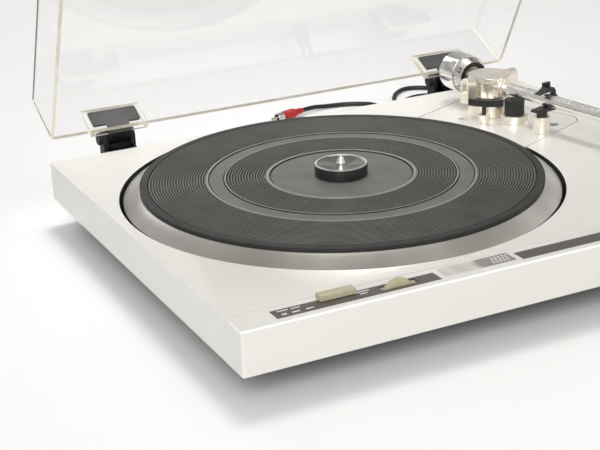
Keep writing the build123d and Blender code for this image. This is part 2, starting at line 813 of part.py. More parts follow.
shell_plane = Plane(origin=PIVOT + TUBE * BEND, x_dir=SHELL, z_dir=(0, 0, 1))
with BuildPart() as headshell:
    with BuildSketch(across_tube(TUBE_END)):
        Circle(5.6)
    extrude(amount=9)
    with BuildSketch(across_tube(TUBE_END - 4)):
        Circle(5.6)
        Circle(TUBE_R, mode=Mode.SUBTRACT)
    extrude(amount=4)
    with BuildSketch(shell_plane.offset(-4.6)):
        with BuildLine():
            Polyline(
                (-3, -6), (12, -9), (44, -8.4), (46, -6.4), (46, 6.4), (44, 8.4), (12, 9), (-3, 6),
                close=True,
            )
        make_face()
    extrude(amount=8)
    with BuildSketch(shell_plane.offset(-0.6)):
        with BuildLine():
            Polyline((26, 8), (40, 8), (42, 19), (35, 21), (30, 18), close=True)
        make_face()
    extrude(amount=1.2)
save(headshell.part, "headshell")

with BuildPart() as cartridge:
    with BuildSketch(shell_plane.offset(-10.6)):
        with Locations((29, 0)):
            RectangleRounded(28, 14, 1.5)
    extrude(amount=6)
save(cartridge.part, "cartridge")

with BuildPart() as stylus:
    with BuildSketch(shell_plane.offset(-12.6)):
        with Locations((35, 0)):
            Rectangle(16, 10)
    extrude(amount=2)
    with BuildSketch(shell_plane.offset(-13.4)):
        with Locations((38.6, 0)):
            Rectangle(8, 1)
    extrude(amount=0.8)
    with BuildSketch(shell_plane.offset(-13.4)):
        with Locations((STYLUS, 0)):
            Circle(0.35)
    extrude(amount=-(ARM_Z - 13.4 - STYLUS_Z), taper=10)
save(stylus.part, "stylus")

STUB_R = 4.5
WEIGHT_Y0, WEIGHT_Y1 = PIVOT_Y + 31.8, PIVOT_Y + 52.0
DIAL_Y0 = PIVOT_Y + 23.6
with BuildPart() as arm_stub:
    with BuildSketch(facing(PIVOT_X, PIVOT_Y + 20, ARM_Z, BACK, (-1, 0, 0))):
        Circle(STUB_R)
    extrude(amount=34)
save(arm_stub.part, "arm_stub")

with BuildPart() as counterweight:
    with BuildSketch(facing(PIVOT_X, WEIGHT_Y0, ARM_Z, BACK, (-1, 0, 0))):
        Circle(16.3)
    extrude(amount=WEIGHT_Y1 - WEIGHT_Y0)
    fillet(counterweight.edges().group_by(Axis.Y)[-1], 1.2)
    with BuildSketch(facing(PIVOT_X, DIAL_Y0 + 2, ARM_Z, BACK, (-1, 0, 0))):
        Circle(8.5)
    extrude(amount=WEIGHT_Y0 - DIAL_Y0 - 2)
    with BuildSketch(facing(PIVOT_X, DIAL_Y0, ARM_Z, BACK, (-1, 0, 0))):
        Circle(STUB_R + RUNNING)
    extrude(amount=40, mode=Mode.SUBTRACT)
save(counterweight.part, "counterweight")

with BuildPart() as force_dial:
    with BuildSketch(Plane.XY.offset(ARM_Z)):
        with BuildLine():
            Polyline(
                (PIVOT_X + 8.5 + RUNNING, DIAL_Y0 + 1.4),
                (PIVOT_X + 9.6, DIAL_Y0),
                (PIVOT_X + 12.6, DIAL_Y0),
                (PIVOT_X + 15.2, WEIGHT_Y0 - 0.2),
                (PIVOT_X + 8.5 + RUNNING, WEIGHT_Y0 - 0.2),
                close=True,
            )
        make_face()
    revolve(axis=Axis((PIVOT_X, 0, ARM_Z), (0, 1, 0)))
save(force_dial.part, "force_dial")

# ---- Dust cover and its hinges ----
# Drawn as when shut, in a frame whose origin is the hinge axis, and so placed open.
open_rad = math.radians(OPENING)
cover_up = Vector(0, math.sin(open_rad), math.cos(open_rad))
cover_plane = Plane(origin=(0, HINGE_Y, HINGE_Z), x_dir=(1, 0, 0), z_dir=cover_up)
COVER_REAR = -11.9
COVER_FRONT = -350.6
COVER_RIM = -3.7
COVER_H = 47.4
cover_mid = (COVER_REAR + COVER_FRONT) / 2
cover_d = COVER_REAR - COVER_FRONT

with BuildPart() as dust_cover:
    with BuildSketch(cover_plane.offset(COVER_RIM)):
        with Locations((0, cover_mid)):
            RectangleRounded(COVER_W, cover_d, 3)
    extrude(amount=COVER_H)
    fillet(dust_cover.faces().filter_by(lambda f: f.normal_at().dot(cover_up) > 0.99).edges(), 1.5)
    with BuildSketch(cover_plane.offset(COVER_RIM - 1)):
        with Locations((0, cover_mid)):
            Rectangle(COVER_W - 2 * COVER_WALL, cover_d - 2 * COVER_WALL)
    extrude(amount=COVER_H - COVER_WALL + 1, mode=Mode.SUBTRACT)
    for hinge_x in HINGE_XS.values():
        with BuildSketch(cover_plane.offset(COVER_RIM)):
            with Locations((hinge_x, COVER_REAR + 2.2)):
                Rectangle(48, 4.4)
        extrude(amount=25)
        with BuildSketch(cover_plane.offset(COVER_RIM - 1)):
            with Locations((hinge_x, COVER_REAR + 1.7)):
                Rectangle(41, 2.6)
        extrude(amount=24, mode=Mode.SUBTRACT)
save(dust_cover.part, "dust_cover")

for side, hinge_x in HINGE_XS.items():
    with BuildPart() as leaf:
        with BuildSketch(Plane(origin=cover_plane.from_local_coords(Vector(hinge_x, COVER_REAR + 0.6, 0)),
                               x_dir=(1, 0, 0), z_dir=cover_plane.y_dir)):
            with Locations((0, -(COVER_RIM + 14.6))):
                RectangleRounded(40, 16, 2)
        extrude(amount=2.2)
        with BuildSketch(Plane(origin=cover_plane.from_local_coords(Vector(hinge_x - 9.2, 0, 0)),
                               x_dir=cover_plane.y_dir, z_dir=(1, 0, 0))):
            with BuildLine():
                Polyline(
                    (COVER_REAR + 0.6, COVER_RIM + 8),
                    (COVER_REAR + 0.6, -7.4),
                    (-5.6, -7.4),
                    (0, -4.6),
                    (0, -1.0),
                    (-6, -4.2),
                    (COVER_REAR + 2.8, -4.2),
                    (COVER_REAR + 2.8, COVER_RIM + 8),
                    close=True,
                )
            make_face()
            Circle(5)
        extrude(amount=18.4)
        with BuildSketch(Plane(origin=(hinge_x - 10, HINGE_Y, HINGE_Z), x_dir=(0, 1, 0), z_dir=(1, 0, 0))):
            Circle(2 + RUNNING)
        extrude(amount=22, mode=Mode.SUBTRACT)
    save(leaf.part, f"hinge_leaf_{side}")

    with BuildPart() as bracket:
        with BuildSketch(Plane(origin=(hinge_x - 13.4, 0, 0), x_dir=(0, 1, 0), z_dir=(1, 0, 0))):
            with BuildLine():
                Polyline(
                    (REAR, 26),
                    (HINGE_Y + 5.5, 26),
                    (HINGE_Y + 5.5, HINGE_Z),
                    (HINGE_Y - 5.5, HINGE_Z),
                    (HINGE_Y - 5.5, TOP - 4),
                    (REAR, TOP - 4),
                    close=True,
                )
            make_face()
            with Locations((HINGE_Y, HINGE_Z)):
                Circle(5.5)
        extrude(amount=26.8)
        with BuildSketch(Plane(origin=(hinge_x - 9.5, 0, 0), x_dir=(0, 1, 0), z_dir=(1, 0, 0))):
            with Locations((HINGE_Y, HINGE_Z)):
                Circle(5.4)
            with Locations((HINGE_Y - 10, HINGE_Z)):
                Rectangle(20, 18.4)
        extrude(amount=19, mode=Mode.SUBTRACT)
        with BuildSketch(Plane(origin=(hinge_x - 16.6, 0, 0), x_dir=(0, 1, 0), z_dir=(1, 0, 0))):
            with Locations((HINGE_Y, HINGE_Z)):
                Circle(4.6)
        extrude(amount=3.2)
        with BuildSketch(Plane(origin=(hinge_x - 16, 0, 0), x_dir=(0, 1, 0), z_dir=(1, 0, 0))):
            with Locations((HINGE_Y, HINGE_Z)):
                Circle(2)
        extrude(amount=29)
    save(bracket.part, f"hinge_bracket_{side}")

# ---- Outlets, phono leads and plugs ----
FLOOR = LEAD_R + 0.3  # height of a lead's middle where it lies on the table
OUTLET_Y = REAR + 22.0
RED_X, WHITE_X = 60.0, 67.0
COIL_MID = 5.5 * 2 * LEAD_R  # from the coil's centre to the middle of its turns
COIL_HALF = 3.1 * LEAD_R
COIL_H = 4.2 * LEAD_R
OUTER_TURN = COIL_MID + 2 * LEAD_R
RED_COIL = (60.0, 250.0)
WHITE_COIL = (195.0, 258.0)

RED_START = [
    (RED_X, OUTLET_Y, OUTLET_Z),
    (RED_X, OUTLET_Y + 12, OUTLET_Z),
    (RED_X - 4, OUTLET_Y + 26, OUTLET_Z - 9),
    (RED_X - 12, OUTLET_Y + 36, 12),
    (RED_X - 22, OUTLET_Y + 46, 3.6),
    (RED_COIL[0] - OUTER_TURN, RED_COIL[1] - 16, FLOOR),
    (RED_COIL[0] - OUTER_TURN + 0.6, RED_COIL[1] + 1, FLOOR),
]
RED_END = [
    (RED_COIL[0], RED_COIL[1] + OUTER_TURN, FLOOR),
    (77, 276.4, FLOOR),
    (95, 270, FLOOR),
    (115, 263.5, FLOOR),
    (135, 264, FLOOR),
    (150, 274, FLOOR),
    (154, 290, FLOOR),
    (144, 303, FLOOR),
    (127, 311.5, FLOOR),
    (108, 314.5, FLOOR),
    (93, 310.5, 5.2),
    (80, 306.5, 5.2),
]
WHITE_START = [
    (WHITE_X, OUTLET_Y, OUTLET_Z),
    (WHITE_X, OUTLET_Y + 12, OUTLET_Z),
    (WHITE_X + 5, OUTLET_Y + 25, OUTLET_Z - 8),
    (WHITE_X + 16, OUTLET_Y + 34, 13),
    (WHITE_X + 40, OUTLET_Y + 41, 3.6),
    (140, 214, FLOOR),
    (172, 210, FLOOR),
    (203, 211, FLOOR),
    (227, 221, FLOOR),
    (239, 243, FLOOR),
    (241, 270, FLOOR),
    (236, 297, FLOOR),
    (225, 318, FLOOR),
    (207, 327, FLOOR),
    (191, 318, FLOOR),
    (179, 303, FLOOR),
    (171.5, 287, FLOOR),
    (WHITE_COIL[0] - OUTER_TURN - 0.4, 271, FLOOR),
    (WHITE_COIL[0] - OUTER_TURN + 0.4, 257, FLOOR),
]
red_plug_dir = (Vector(*RED_END[-1]) - Vector(*RED_END[-2])).normalized()


def corner_radii(points):
    """The arc at each inner corner: 0.45 of the shorter run over the tangent of half the turn."""
    radii = []
    for a, b, c in zip(points, points[1:], points[2:]):
        run_in = Vector(*b) - Vector(*a)
        run_out = Vector(*c) - Vector(*b)
        half_turn = math.radians(run_in.get_angle(run_out)) / 2
        radii.append(0.45 * min(run_in.length, run_out.length) / math.tan(half_turn))
    return radii


for lead_name, points in (
    ("lead_red_start", RED_START),
    ("lead_red_end", RED_END),
    ("lead_white_run", WHITE_START),
):
    radii = corner_radii(points)
    with BuildPart() as lead:
        with BuildLine() as route:
            FilletPolyline(*points, radius=radii)
        first_run = Vector(*points[1]) - Vector(*points[0])
        with BuildSketch(Plane(origin=points[0], z_dir=first_run)):
            Circle(LEAD_R)
        sweep()
    expected = route.wire().length * math.pi * LEAD_R**2
    print(lead_name, "radii", [round(r, 1) for r in radii], "length", round(route.wire().length, 1))
    print("  volume over section times length:", round(lead.part.volume / expected, 4))
    save(lead.part, lead_name)

for coil_name, centre in (("lead_red_coil", RED_COIL), ("lead_white_coil", WHITE_COIL)):
    with BuildPart() as coil:
        with BuildSketch(level(0.3)):
            with Locations(centre):
                Circle(COIL_MID + COIL_HALF)
                Circle(COIL_MID - COIL_HALF, mode=Mode.SUBTRACT)
        extrude(amount=COIL_H)
    save(coil.part, coil_name)

PLUG_AT = {
    "plug_red": (Vector(*RED_END[-1]), red_plug_dir),
    "plug_white": (Vector(WHITE_COIL[0] + OUTER_TURN + 3.6, WHITE_COIL[1] + 12, 5.2), Vector(0, 1, 0)),
}
for plug_name, (plug_end, plug_dir) in PLUG_AT.items():
    with BuildPart() as plug:
        for start, length, radius in ((0, 10, 3.2), (10, 16, 4.6), (26, 7, 4.1), (33, 8, 1.6)):
            with BuildSketch(Plane(origin=plug_end + plug_dir * start, z_dir=plug_dir)):
                Circle(radius)
            extrude(amount=length)
    save(plug.part, plug_name)

OUTLET_NAMES = {"phono_gland": 63.5, "mains_gland": -118.0}
for gland_name, gland_x in OUTLET_NAMES.items():
    gland_w = OUTLETS[gland_x]
    with BuildPart() as gland:
        with BuildSketch(facing(gland_x, REAR - WALL - 3, OUTLET_Z, (0, 1, 0), (-1, 0, 0))):
            RectangleRounded(gland_w + 3, 11, 3)
        extrude(amount=2.8)
        with BuildSketch(facing(gland_x, REAR - WALL - 0.2, OUTLET_Z, (0, 1, 0), (-1, 0, 0))):
            RectangleRounded(gland_w, 8.4, 3)
        extrude(amount=WALL + 2.2)
        with BuildSketch(facing(gland_x, REAR + 2, OUTLET_Z, (0, 1, 0), (-1, 0, 0))):
            RectangleRounded(gland_w - 0.6, 8, 3)
        with BuildSketch(facing(gland_x, OUTLET_Y, OUTLET_Z, (0, 1, 0), (-1, 0, 0))):
            RectangleRounded(gland_w - 3, 5.6, 2.6)
        loft()
        if gland_name == "mains_gland":
            with BuildSketch(facing(gland_x, OUTLET_Y + 1, OUTLET_Z, (0, -1, 0), (1, 0, 0))):
                Circle(1.9)
            extrude(amount=40, mode=Mode.SUBTRACT)
    save(gland.part, gland_name)
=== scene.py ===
# %% [markdown]
# # A record player with its clear cover open
#
# The player is built around a fixed frame: every node of the engineering model is already in place, in
# metres, with +X to the player's right, +Y to its back and +Z up from the table. This file adds the camera,
# the light, the leads, finer versions of the turned and moulded pieces, and a finish for every surface.

# %% Load the frame
import json
import math

import bmesh
import bpy
from mathutils import Matrix, Vector


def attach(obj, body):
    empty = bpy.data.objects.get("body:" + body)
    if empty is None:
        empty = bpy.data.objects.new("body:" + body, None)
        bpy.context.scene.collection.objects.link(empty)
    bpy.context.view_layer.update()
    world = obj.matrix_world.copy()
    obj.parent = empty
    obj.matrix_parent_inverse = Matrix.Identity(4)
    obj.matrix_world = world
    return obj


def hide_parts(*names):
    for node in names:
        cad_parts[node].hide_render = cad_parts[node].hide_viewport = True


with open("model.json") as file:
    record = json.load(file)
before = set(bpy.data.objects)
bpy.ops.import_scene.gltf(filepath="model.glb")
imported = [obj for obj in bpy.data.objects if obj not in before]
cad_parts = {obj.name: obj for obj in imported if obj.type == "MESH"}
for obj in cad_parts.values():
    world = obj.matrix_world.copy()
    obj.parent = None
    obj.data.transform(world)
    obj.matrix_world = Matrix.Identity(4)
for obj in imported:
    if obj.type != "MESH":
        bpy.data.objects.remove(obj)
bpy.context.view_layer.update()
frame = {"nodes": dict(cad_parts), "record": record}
MM = 0.001

# %% [markdown]
# ## Camera
#
# A low three-quarter view from the player's front left corner. The lens is long, as in catalogue pictures,
# so the far edge of the plinth stays nearly as wide as the near one. The camera's three axes are worked out
# from its heading, its tilt downwards and a slight roll, and become the columns of its matrix.

# %% Camera
HEADING, TILT, ROLL = math.radians(25.9), math.radians(21.06), math.radians(-2.24)
CAMERA_AT = Vector((-0.5013, -0.8762, 0.3951))
SENSOR, LENS = 36, 85.86  # width of the picture and focal length, in millimetres
forward = Vector((math.sin(HEADING) * math.cos(TILT), math.cos(HEADING) * math.cos(TILT), -math.sin(TILT)))
level_right = forward.cross(Vector((0, 0, 1))).normalized()
level_up = level_right.cross(forward)
right = math.cos(ROLL) * level_right + math.sin(ROLL) * level_up
up = math.cos(ROLL) * level_up - math.sin(ROLL) * level_right
camera = bpy.data.objects.new("camera", bpy.data.cameras.new("camera"))
camera.data.sensor_width = SENSOR
camera.data.lens = LENS
camera.data.clip_start = 0.02
camera.matrix_world = Matrix.Translation(CAMERA_AT) @ Matrix((right, up, -forward)).transposed().to_4x4()
bpy.context.collection.objects.link(camera)
bpy.context.scene.camera = camera
print("camera", tuple(round(c, 3) for c in CAMERA_AT), "lens", camera.data.lens)

# %% [markdown]
# ## Phono leads
#
# Two thin screened leads leave one gland at the back. Each is 1.2 m long, as usual for a record player, and
# most of that is put away in a small coil on the table behind the plinth. A lead is one NURBS curve: its
# control points are the route that the engineering model uses, and the coil's turns are worked out by a
# loop. The spline's order is set after its points exist, because Blender keeps an order no higher than the
# number of points.

# %% Lead routes
LEAD_R = 2.1 * MM
LOW, HIGH = 2.4, 6.6  # heights of the coil's two layers, in millimetres
TURN_RADII = (27.6, 23.4, 19.0)
STEPS = 16  # control points in a turn
SHIFT_FROM = 0.66  # the part of a turn after which it moves over to the next one
RED_COIL, WHITE_COIL = (60.0, 250.0), (195.0, 258.0)


def coil_turns(centre, start, way, turns, layers):
    """Control points of a coil. A turn has a (radius, height) in millimetres, and blends into the next."""
    points = []
    for step in range(1, int(turns * STEPS)):
        turn, part = divmod(step / STEPS, 1)
        here = layers[min(int(turn), len(layers) - 1)]
        after = layers[min(int(turn) + 1, len(layers) - 1)]
        mix = max(0.0, (part - SHIFT_FROM) / (1 - SHIFT_FROM))
        radius = here[0] + (after[0] - here[0]) * mix
        height = here[1] + (after[1] - here[1]) * mix
        angle = math.radians(start) + way * 2 * math.pi * step / STEPS
        points.append((centre[0] + radius * math.cos(angle), centre[1] + radius * math.sin(angle), height))
    return points


layers_up = [(r, LOW) for r in TURN_RADII] + [(r, HIGH) for r in reversed(TURN_RADII)]
red_route = [
    (60, 172, 33),
    (60, 184, 33),
    (56, 198, 24),
    (48, 208, 12),
    (38, 218, 3.6),
    (33, 234, LOW),
    *coil_turns(RED_COIL, 180, -1, 6.25, layers_up),
    (60, 277.6, HIGH),
    (69, 277.5, 5.6),
    (77, 276.4, 3.2),
    (95, 270, LOW),
    (115, 263.5, LOW),
    (135, 264, LOW),
    (150, 274, LOW),
    (154, 290, LOW),
    (144, 303, LOW),
    (127, 311.5, LOW),
    (108, 314.5, LOW),
    (93, 310.5, 5.2),
    (80, 306.5, 5.2),
]
white_route = [
    (67, 172, 33),
    (67, 184, 33),
    (72, 197, 25),
    (83, 206, 13),
    (107, 213, 3.6),
    (140, 214, LOW),
    (172, 210, LOW),
    (203, 211, LOW),
    (227, 221, LOW),
    (239, 243, LOW),
    (241, 270, LOW),
    (236, 297, LOW),
    (225, 318, LOW),
    (207, 327, LOW),
    (191, 318, LOW),
    (179, 303, LOW),
    (171.5, 287, LOW),
    (167.3, 271, LOW),
    *coil_turns(WHITE_COIL, 180, 1, 5.5, layers_up),
    (223.6, 262, 6.2),
    (225.9, 270, 5.2),
]


def lead(name, route):
    """A round lead along a route given in millimetres."""
    curve = bpy.data.curves.new(name, "CURVE")
    curve.dimensions = "3D"
    curve.resolution_u = 8
    curve.bevel_depth = LEAD_R
    curve.bevel_resolution = 4
    spline = curve.splines.new("NURBS")
    spline.points.add(len(route) - 1)
    for point, place in zip(spline.points, route):
        point.co = (*(Vector(place) * MM), 1)
    spline.order_u = 3
    spline.use_endpoint_u = True
    piece = bpy.data.objects.new(name, curve)
    bpy.context.collection.objects.link(piece)
    print(name, "control points", len(route), "length", round(spline.calc_length(), 3))
    return piece


red_lead = lead("red_lead", red_route)
white_lead = lead("white_lead", white_route)

# %% [markdown]
# ## Making pieces
#
# Most of the player is moulded or sheet work with small rounded edges, or it is turned on a lathe. Two helpers
# cover both. The first takes a merged copy of a node, joins its flat triangles back into whole faces and gives
# the edges a fine bevel, because no real edge is perfectly sharp and the bevel is what catches the light. The
# second spins an outline round an axis, which is how a lathe makes a shape. A third only smooths a round node.

# %% Helpers for pieces
def to_object(bm, name, body, sharp=30, drawn=True):
    """Turn a bmesh into a smooth-shaded object that rides on a body, with new normals if it was drawn here."""
    if drawn:
        bmesh.ops.recalc_face_normals(bm, faces=bm.faces)
    mesh = bpy.data.meshes.new(name)
    bm.to_mesh(mesh)
    bm.free()
    mesh.shade_smooth()
    mesh.set_sharp_from_angle(angle=math.radians(sharp))
    piece = bpy.data.objects.new(name, mesh)
    bpy.context.collection.objects.link(piece)
    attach(piece, body)
    return piece


def bevelled(piece, width, segments):
    """Round every edge sharper than 30 degrees by so many millimetres."""
    rounding = piece.modifiers.new("edges", "BEVEL")
    rounding.width = width * MM
    rounding.segments = segments
    rounding.limit_method = "ANGLE"
    rounding.angle_limit = math.radians(30)
    rounding.use_clamp_overlap = False
    rounding.harden_normals = True


BODY_OF = {node: body for body, names in frame["record"]["behaviour"]["bodies"].items() for node in names}
WELD = 1e-6  # vertices nearer than this, in metres, are one
FLAT = math.radians(0.4)  # triangles that meet at less than this are one face


def merged(node):
    """A bmesh copy of a node, in which triangles that meet share their vertices."""
    bm = bmesh.new()
    bm.from_mesh(frame["nodes"][node].data)
    bmesh.ops.remove_doubles(bm, verts=bm.verts, dist=WELD)
    return bm


def softened(node, width=0.3, segments=2):
    """A copy of a node with fine round edges, or with none at width 0, in that node's place."""
    bm = merged(node)
    bmesh.ops.dissolve_limit(bm, angle_limit=FLAT, verts=bm.verts, edges=bm.edges)
    piece = to_object(bm, node + "_finished", BODY_OF[node], drawn=False)
    if width:
        bevelled(piece, width, segments)
    else:
        piece.modifiers.new("flats", "WEIGHTED_NORMAL").keep_sharp = True
    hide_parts(node)
    return piece


def smoothed(node):
    """A copy of a round node that shades smoothly, in that node's place."""
    piece = to_object(merged(node), node + "_finished", BODY_OF[node], drawn=False)
    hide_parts(node)
    return piece


def placed(x, y, z, direction=(0, 0, 1)):
    """The matrix that takes a shape drawn along +Z to a place in millimetres, facing a direction."""
    turn = Vector((0, 0, 1)).rotation_difference(Vector(direction)).to_matrix().to_4x4()
    return Matrix.Translation(Vector((x, y, z)) * MM) @ turn


def spun(bm, outline, matrix, steps, closed):
    """Spin an outline of (radius, height) points, in millimetres, round the matrix's Z axis."""
    ring = [bm.verts.new((r * MM, 0, z * MM)) for r, z in outline]
    pairs = list(zip(ring, ring[1:])) + ([(ring[-1], ring[0])] if closed else [])
    edges = [bm.edges.new(pair) for pair in pairs]
    bmesh.ops.spin(
        bm, geom=ring + edges, cent=(0, 0, 0), axis=(0, 0, 1), angle=2 * math.pi, steps=steps, use_merge=True
    )
    bmesh.ops.remove_doubles(bm, verts=bm.verts, dist=1e-7)
    bmesh.ops.transform(bm, matrix=matrix, verts=bm.verts)


def turned(name, body, outline, matrix, steps=128, closed=True, sharp=30):
    """A lathe-turned piece."""
    bm = bmesh.new()
    spun(bm, outline, matrix, steps, closed)
    return to_object(bm, name, body, sharp)


# %% [markdown]
# ## Materials
#
# Colours are written as hex values, the way a paint chart or a picture gives them, and one function turns
# them into the linear numbers that the shader works with. One small function adds a node with its settings
# and links. Every finish starts from a Principled shader, then gets its own grain from Object coordinates,
# whose unit is the metre, so a grain of so many millimetres has a scale of one thousand over that number.

# %% Helpers for materials
def linear(hex_colour):
    """An sRGB hex colour as linear RGBA."""
    channels = [int(hex_colour[i:i + 2], 16) / 255 for i in (1, 3, 5)]
    return (*[c / 12.92 if c <= 0.04045 else ((c + 0.055) / 1.055) ** 2.4 for c in channels], 1)


def add(tree, kind, inputs=None, **settings):
    """Add a node: settings are its properties, inputs are values or sockets to link."""
    made = tree.nodes.new(kind)
    for key, value in settings.items():
        setattr(made, key, value)
    for key, value in (inputs or {}).items():
        if isinstance(value, bpy.types.NodeSocket):
            tree.links.new(value, made.inputs[key])
        else:
            made.inputs[key].default_value = value
    return made


def new_material(name, colour, metallic, roughness, **more):
    """A material with a Principled shader. Returns it, its tree, the shader and the Object coordinates."""
    material = bpy.data.materials.new(name)
    material.use_nodes = True
    tree = material.node_tree
    tree.nodes.clear()
    shader = add(tree, "ShaderNodeBsdfPrincipled")
    shader.inputs["Base Color"].default_value = linear(colour)
    shader.inputs["Metallic"].default_value = metallic
    shader.inputs["Roughness"].default_value = roughness
    for key, value in more.items():
        shader.inputs[key.replace("_", " ")].default_value = value
    add(tree, "ShaderNodeOutputMaterial", {"Surface": shader.outputs[0]})
    coordinates = add(tree, "ShaderNodeTexCoord").outputs["Object"]
    return material, tree, shader, coordinates


def per_mm(size):
    """The texture scale that gives features of a size in millimetres."""
    return 1000.0 / size


def blotches(tree, shader, coordinates, size, light, dark, low, high):
    """Vary the base colour between two hex values in patches of a size in millimetres."""
    noise = add(tree, "ShaderNodeTexNoise", {"Vector": coordinates, "Scale": per_mm(size), "Detail": 4.0})
    ramp = add(tree, "ShaderNodeValToRGB", {"Fac": noise.outputs["Fac"]})
    ramp.color_ramp.elements[0].position = low
    ramp.color_ramp.elements[1].position = high
    ramp.color_ramp.elements[0].color = linear(dark)
    ramp.color_ramp.elements[1].color = linear(light)
    tree.links.new(ramp.outputs["Color"], shader.inputs["Base Color"])


def rough_patches(tree, shader, coordinates, size, least, most):
    """Vary the roughness in patches of a size in millimetres."""
    noise = add(tree, "ShaderNodeTexNoise", {"Vector": coordinates, "Scale": per_mm(size), "Detail": 3.0})
    spread = add(
        tree,
        "ShaderNodeMapRange",
        {"Value": noise.outputs["Fac"], "From Min": 0.3, "From Max": 0.7, "To Min": least, "To Max": most},
    )
    tree.links.new(spread.outputs["Result"], shader.inputs["Roughness"])


def grain(tree, shader, coordinates, size, depth, strength):
    """Raise a fine random grain: its size and depth are in millimetres."""
    noise = add(tree, "ShaderNodeTexNoise", {"Vector": coordinates, "Scale": per_mm(size), "Detail": 2.0})
    bump = add(
        tree, "ShaderNodeBump", {"Height": noise.outputs["Fac"], "Distance": depth * MM, "Strength": strength}
    )
    tree.links.new(bump.outputs["Normal"], shader.inputs["Normal"])


def dress(material, *pieces):
    """Give pieces, or the nodes of those names, a material."""
    for piece in pieces:
        thing = frame["nodes"][piece] if isinstance(piece, str) else piece
        thing.data.materials.clear()
        thing.data.materials.append(material)


# %% [markdown]
# ### Painted plinth: pearl silver lacquer on moulded ABS
#
# The plinth is sprayed with a warm silver lacquer. Its metal flakes are far too small to show one by one,
# so they appear as a fine sparkle in the roughness, and the lacquer's own surface has the very shallow
# ripple called orange peel. It is part metal and part varnish, so the metallic value is low. Along the
# edges of the front strip a painted highlight stands in for the light they catch: a near white, matt
# finish that shows as a white line.

# %% Pearl silver lacquer
def pearl_lacquer():
    """Warm silver paint with a flake sparkle and a little orange peel."""
    material, tree, shader, coordinates = new_material(
        "pearl silver lacquer", "#DEDDD8", 0.15, 0.42, Coat_Weight=0.1, Coat_Roughness=0.3
    )
    blotches(tree, shader, coordinates, 0.5, "#E2E1DC", "#D9D7D0", 0.35, 0.65)
    rough_patches(tree, shader, coordinates, 40, 0.34, 0.44)
    grain(tree, shader, coordinates, 0.8, 0.01, 0.35)
    return material


LACQUER = pearl_lacquer()


def paint_edge_highlight():
    """Painted highlight along the front strip's edges: a near white, matt finish."""
    material, tree, shader, coordinates = new_material("painted highlight on the strip's edges", "#FDFCFA", 0.0, 0.5)
    rough_patches(tree, shader, coordinates, 30, 0.45, 0.55)
    return material


PAINTED_EDGE_HIGHLIGHT = paint_edge_highlight()


# %% [markdown]
# ### Anodised aluminium
#
# The arm's panel and the arm's castings are bead-blasted and anodised, so they are metal with an even, soft
# gloss. The two control plates are the same metal, dyed dark grey and brushed along their length.

# %% Anodised aluminium
def satin_aluminium(name, colour, roughness, metallic):
    """Bead-blasted metal: an even gloss over a very fine grain."""
    material, tree, shader, coordinates = new_material(name, colour, metallic, roughness)
    rough_patches(tree, shader, coordinates, 12, roughness - 0.04, roughness + 0.04)
    grain(tree, shader, coordinates, 0.25, 0.002, 0.2)
    return material


def brushed_along_x(name, colour, roughness, metallic):
    """Brushing along X: noise stretched forty times along that direction."""
    material, tree, shader, coordinates = new_material(name, colour, metallic, roughness)
    stretch = add(tree, "ShaderNodeMapping", {"Vector": coordinates, "Scale": (0.025, 1.0, 1.0)})
    noise = add(
        tree, "ShaderNodeTexNoise", {"Vector": stretch.outputs[0], "Scale": per_mm(0.3), "Detail": 3.0}
    )
    marks = {"Height": noise.outputs["Fac"], "Distance": 0.008 * MM, "Strength": 0.6}
    bump = add(tree, "ShaderNodeBump", marks)
    tree.links.new(bump.outputs["Normal"], shader.inputs["Normal"])
    spread = add(
        tree,
        "ShaderNodeMapRange",
        {"Value": noise.outputs["Fac"], "To Min": roughness - 0.08, "To Max": roughness + 0.1},
    )
    tree.links.new(spread.outputs["Result"], shader.inputs["Roughness"])
    return material


PANEL = satin_aluminium("satin anodised aluminium", "#E9E7E1", 0.4, 0.4)
ARM_METAL = satin_aluminium("bead-blasted aluminium", "#F6EFE3", 0.3, 0.85)
PLATE = brushed_along_x("dark anodised aluminium", "#5F5C57", 0.4, 0.35)


# %% [markdown]
# ### Turned aluminium
#
# The platter's rim is turned on a lathe, so its cutting marks are rings round its own axis. Rings stretch
# each highlight across them, which is what makes the bright wedges on a turned disc. The shader needs the
# direction of the marks for that: the piece gets a UV map with its U along the turn, and a Tangent node
# reads it. A slow noise along U also paints darker parts into the base colour, a painted reflection on top of the
# real wedges.

# %% Turned aluminium
def ring_uv(piece, x, y):
    """A UV map whose U runs round a vertical axis at x, y and whose V is the distance from it, in metres."""
    layer = piece.data.uv_layers.new(name="turned")
    for face in piece.data.polygons:
        middle = math.atan2(face.center.y - y, face.center.x - x)
        for corner in face.loop_indices:
            place = piece.data.vertices[piece.data.loops[corner].vertex_index].co
            angle = math.atan2(place.y - y, place.x - x)
            angle += 2 * math.pi * round((middle - angle) / (2 * math.pi))
            layer.data[corner].uv = (angle / (2 * math.pi), math.hypot(place.x - x, place.y - y) + place.z)


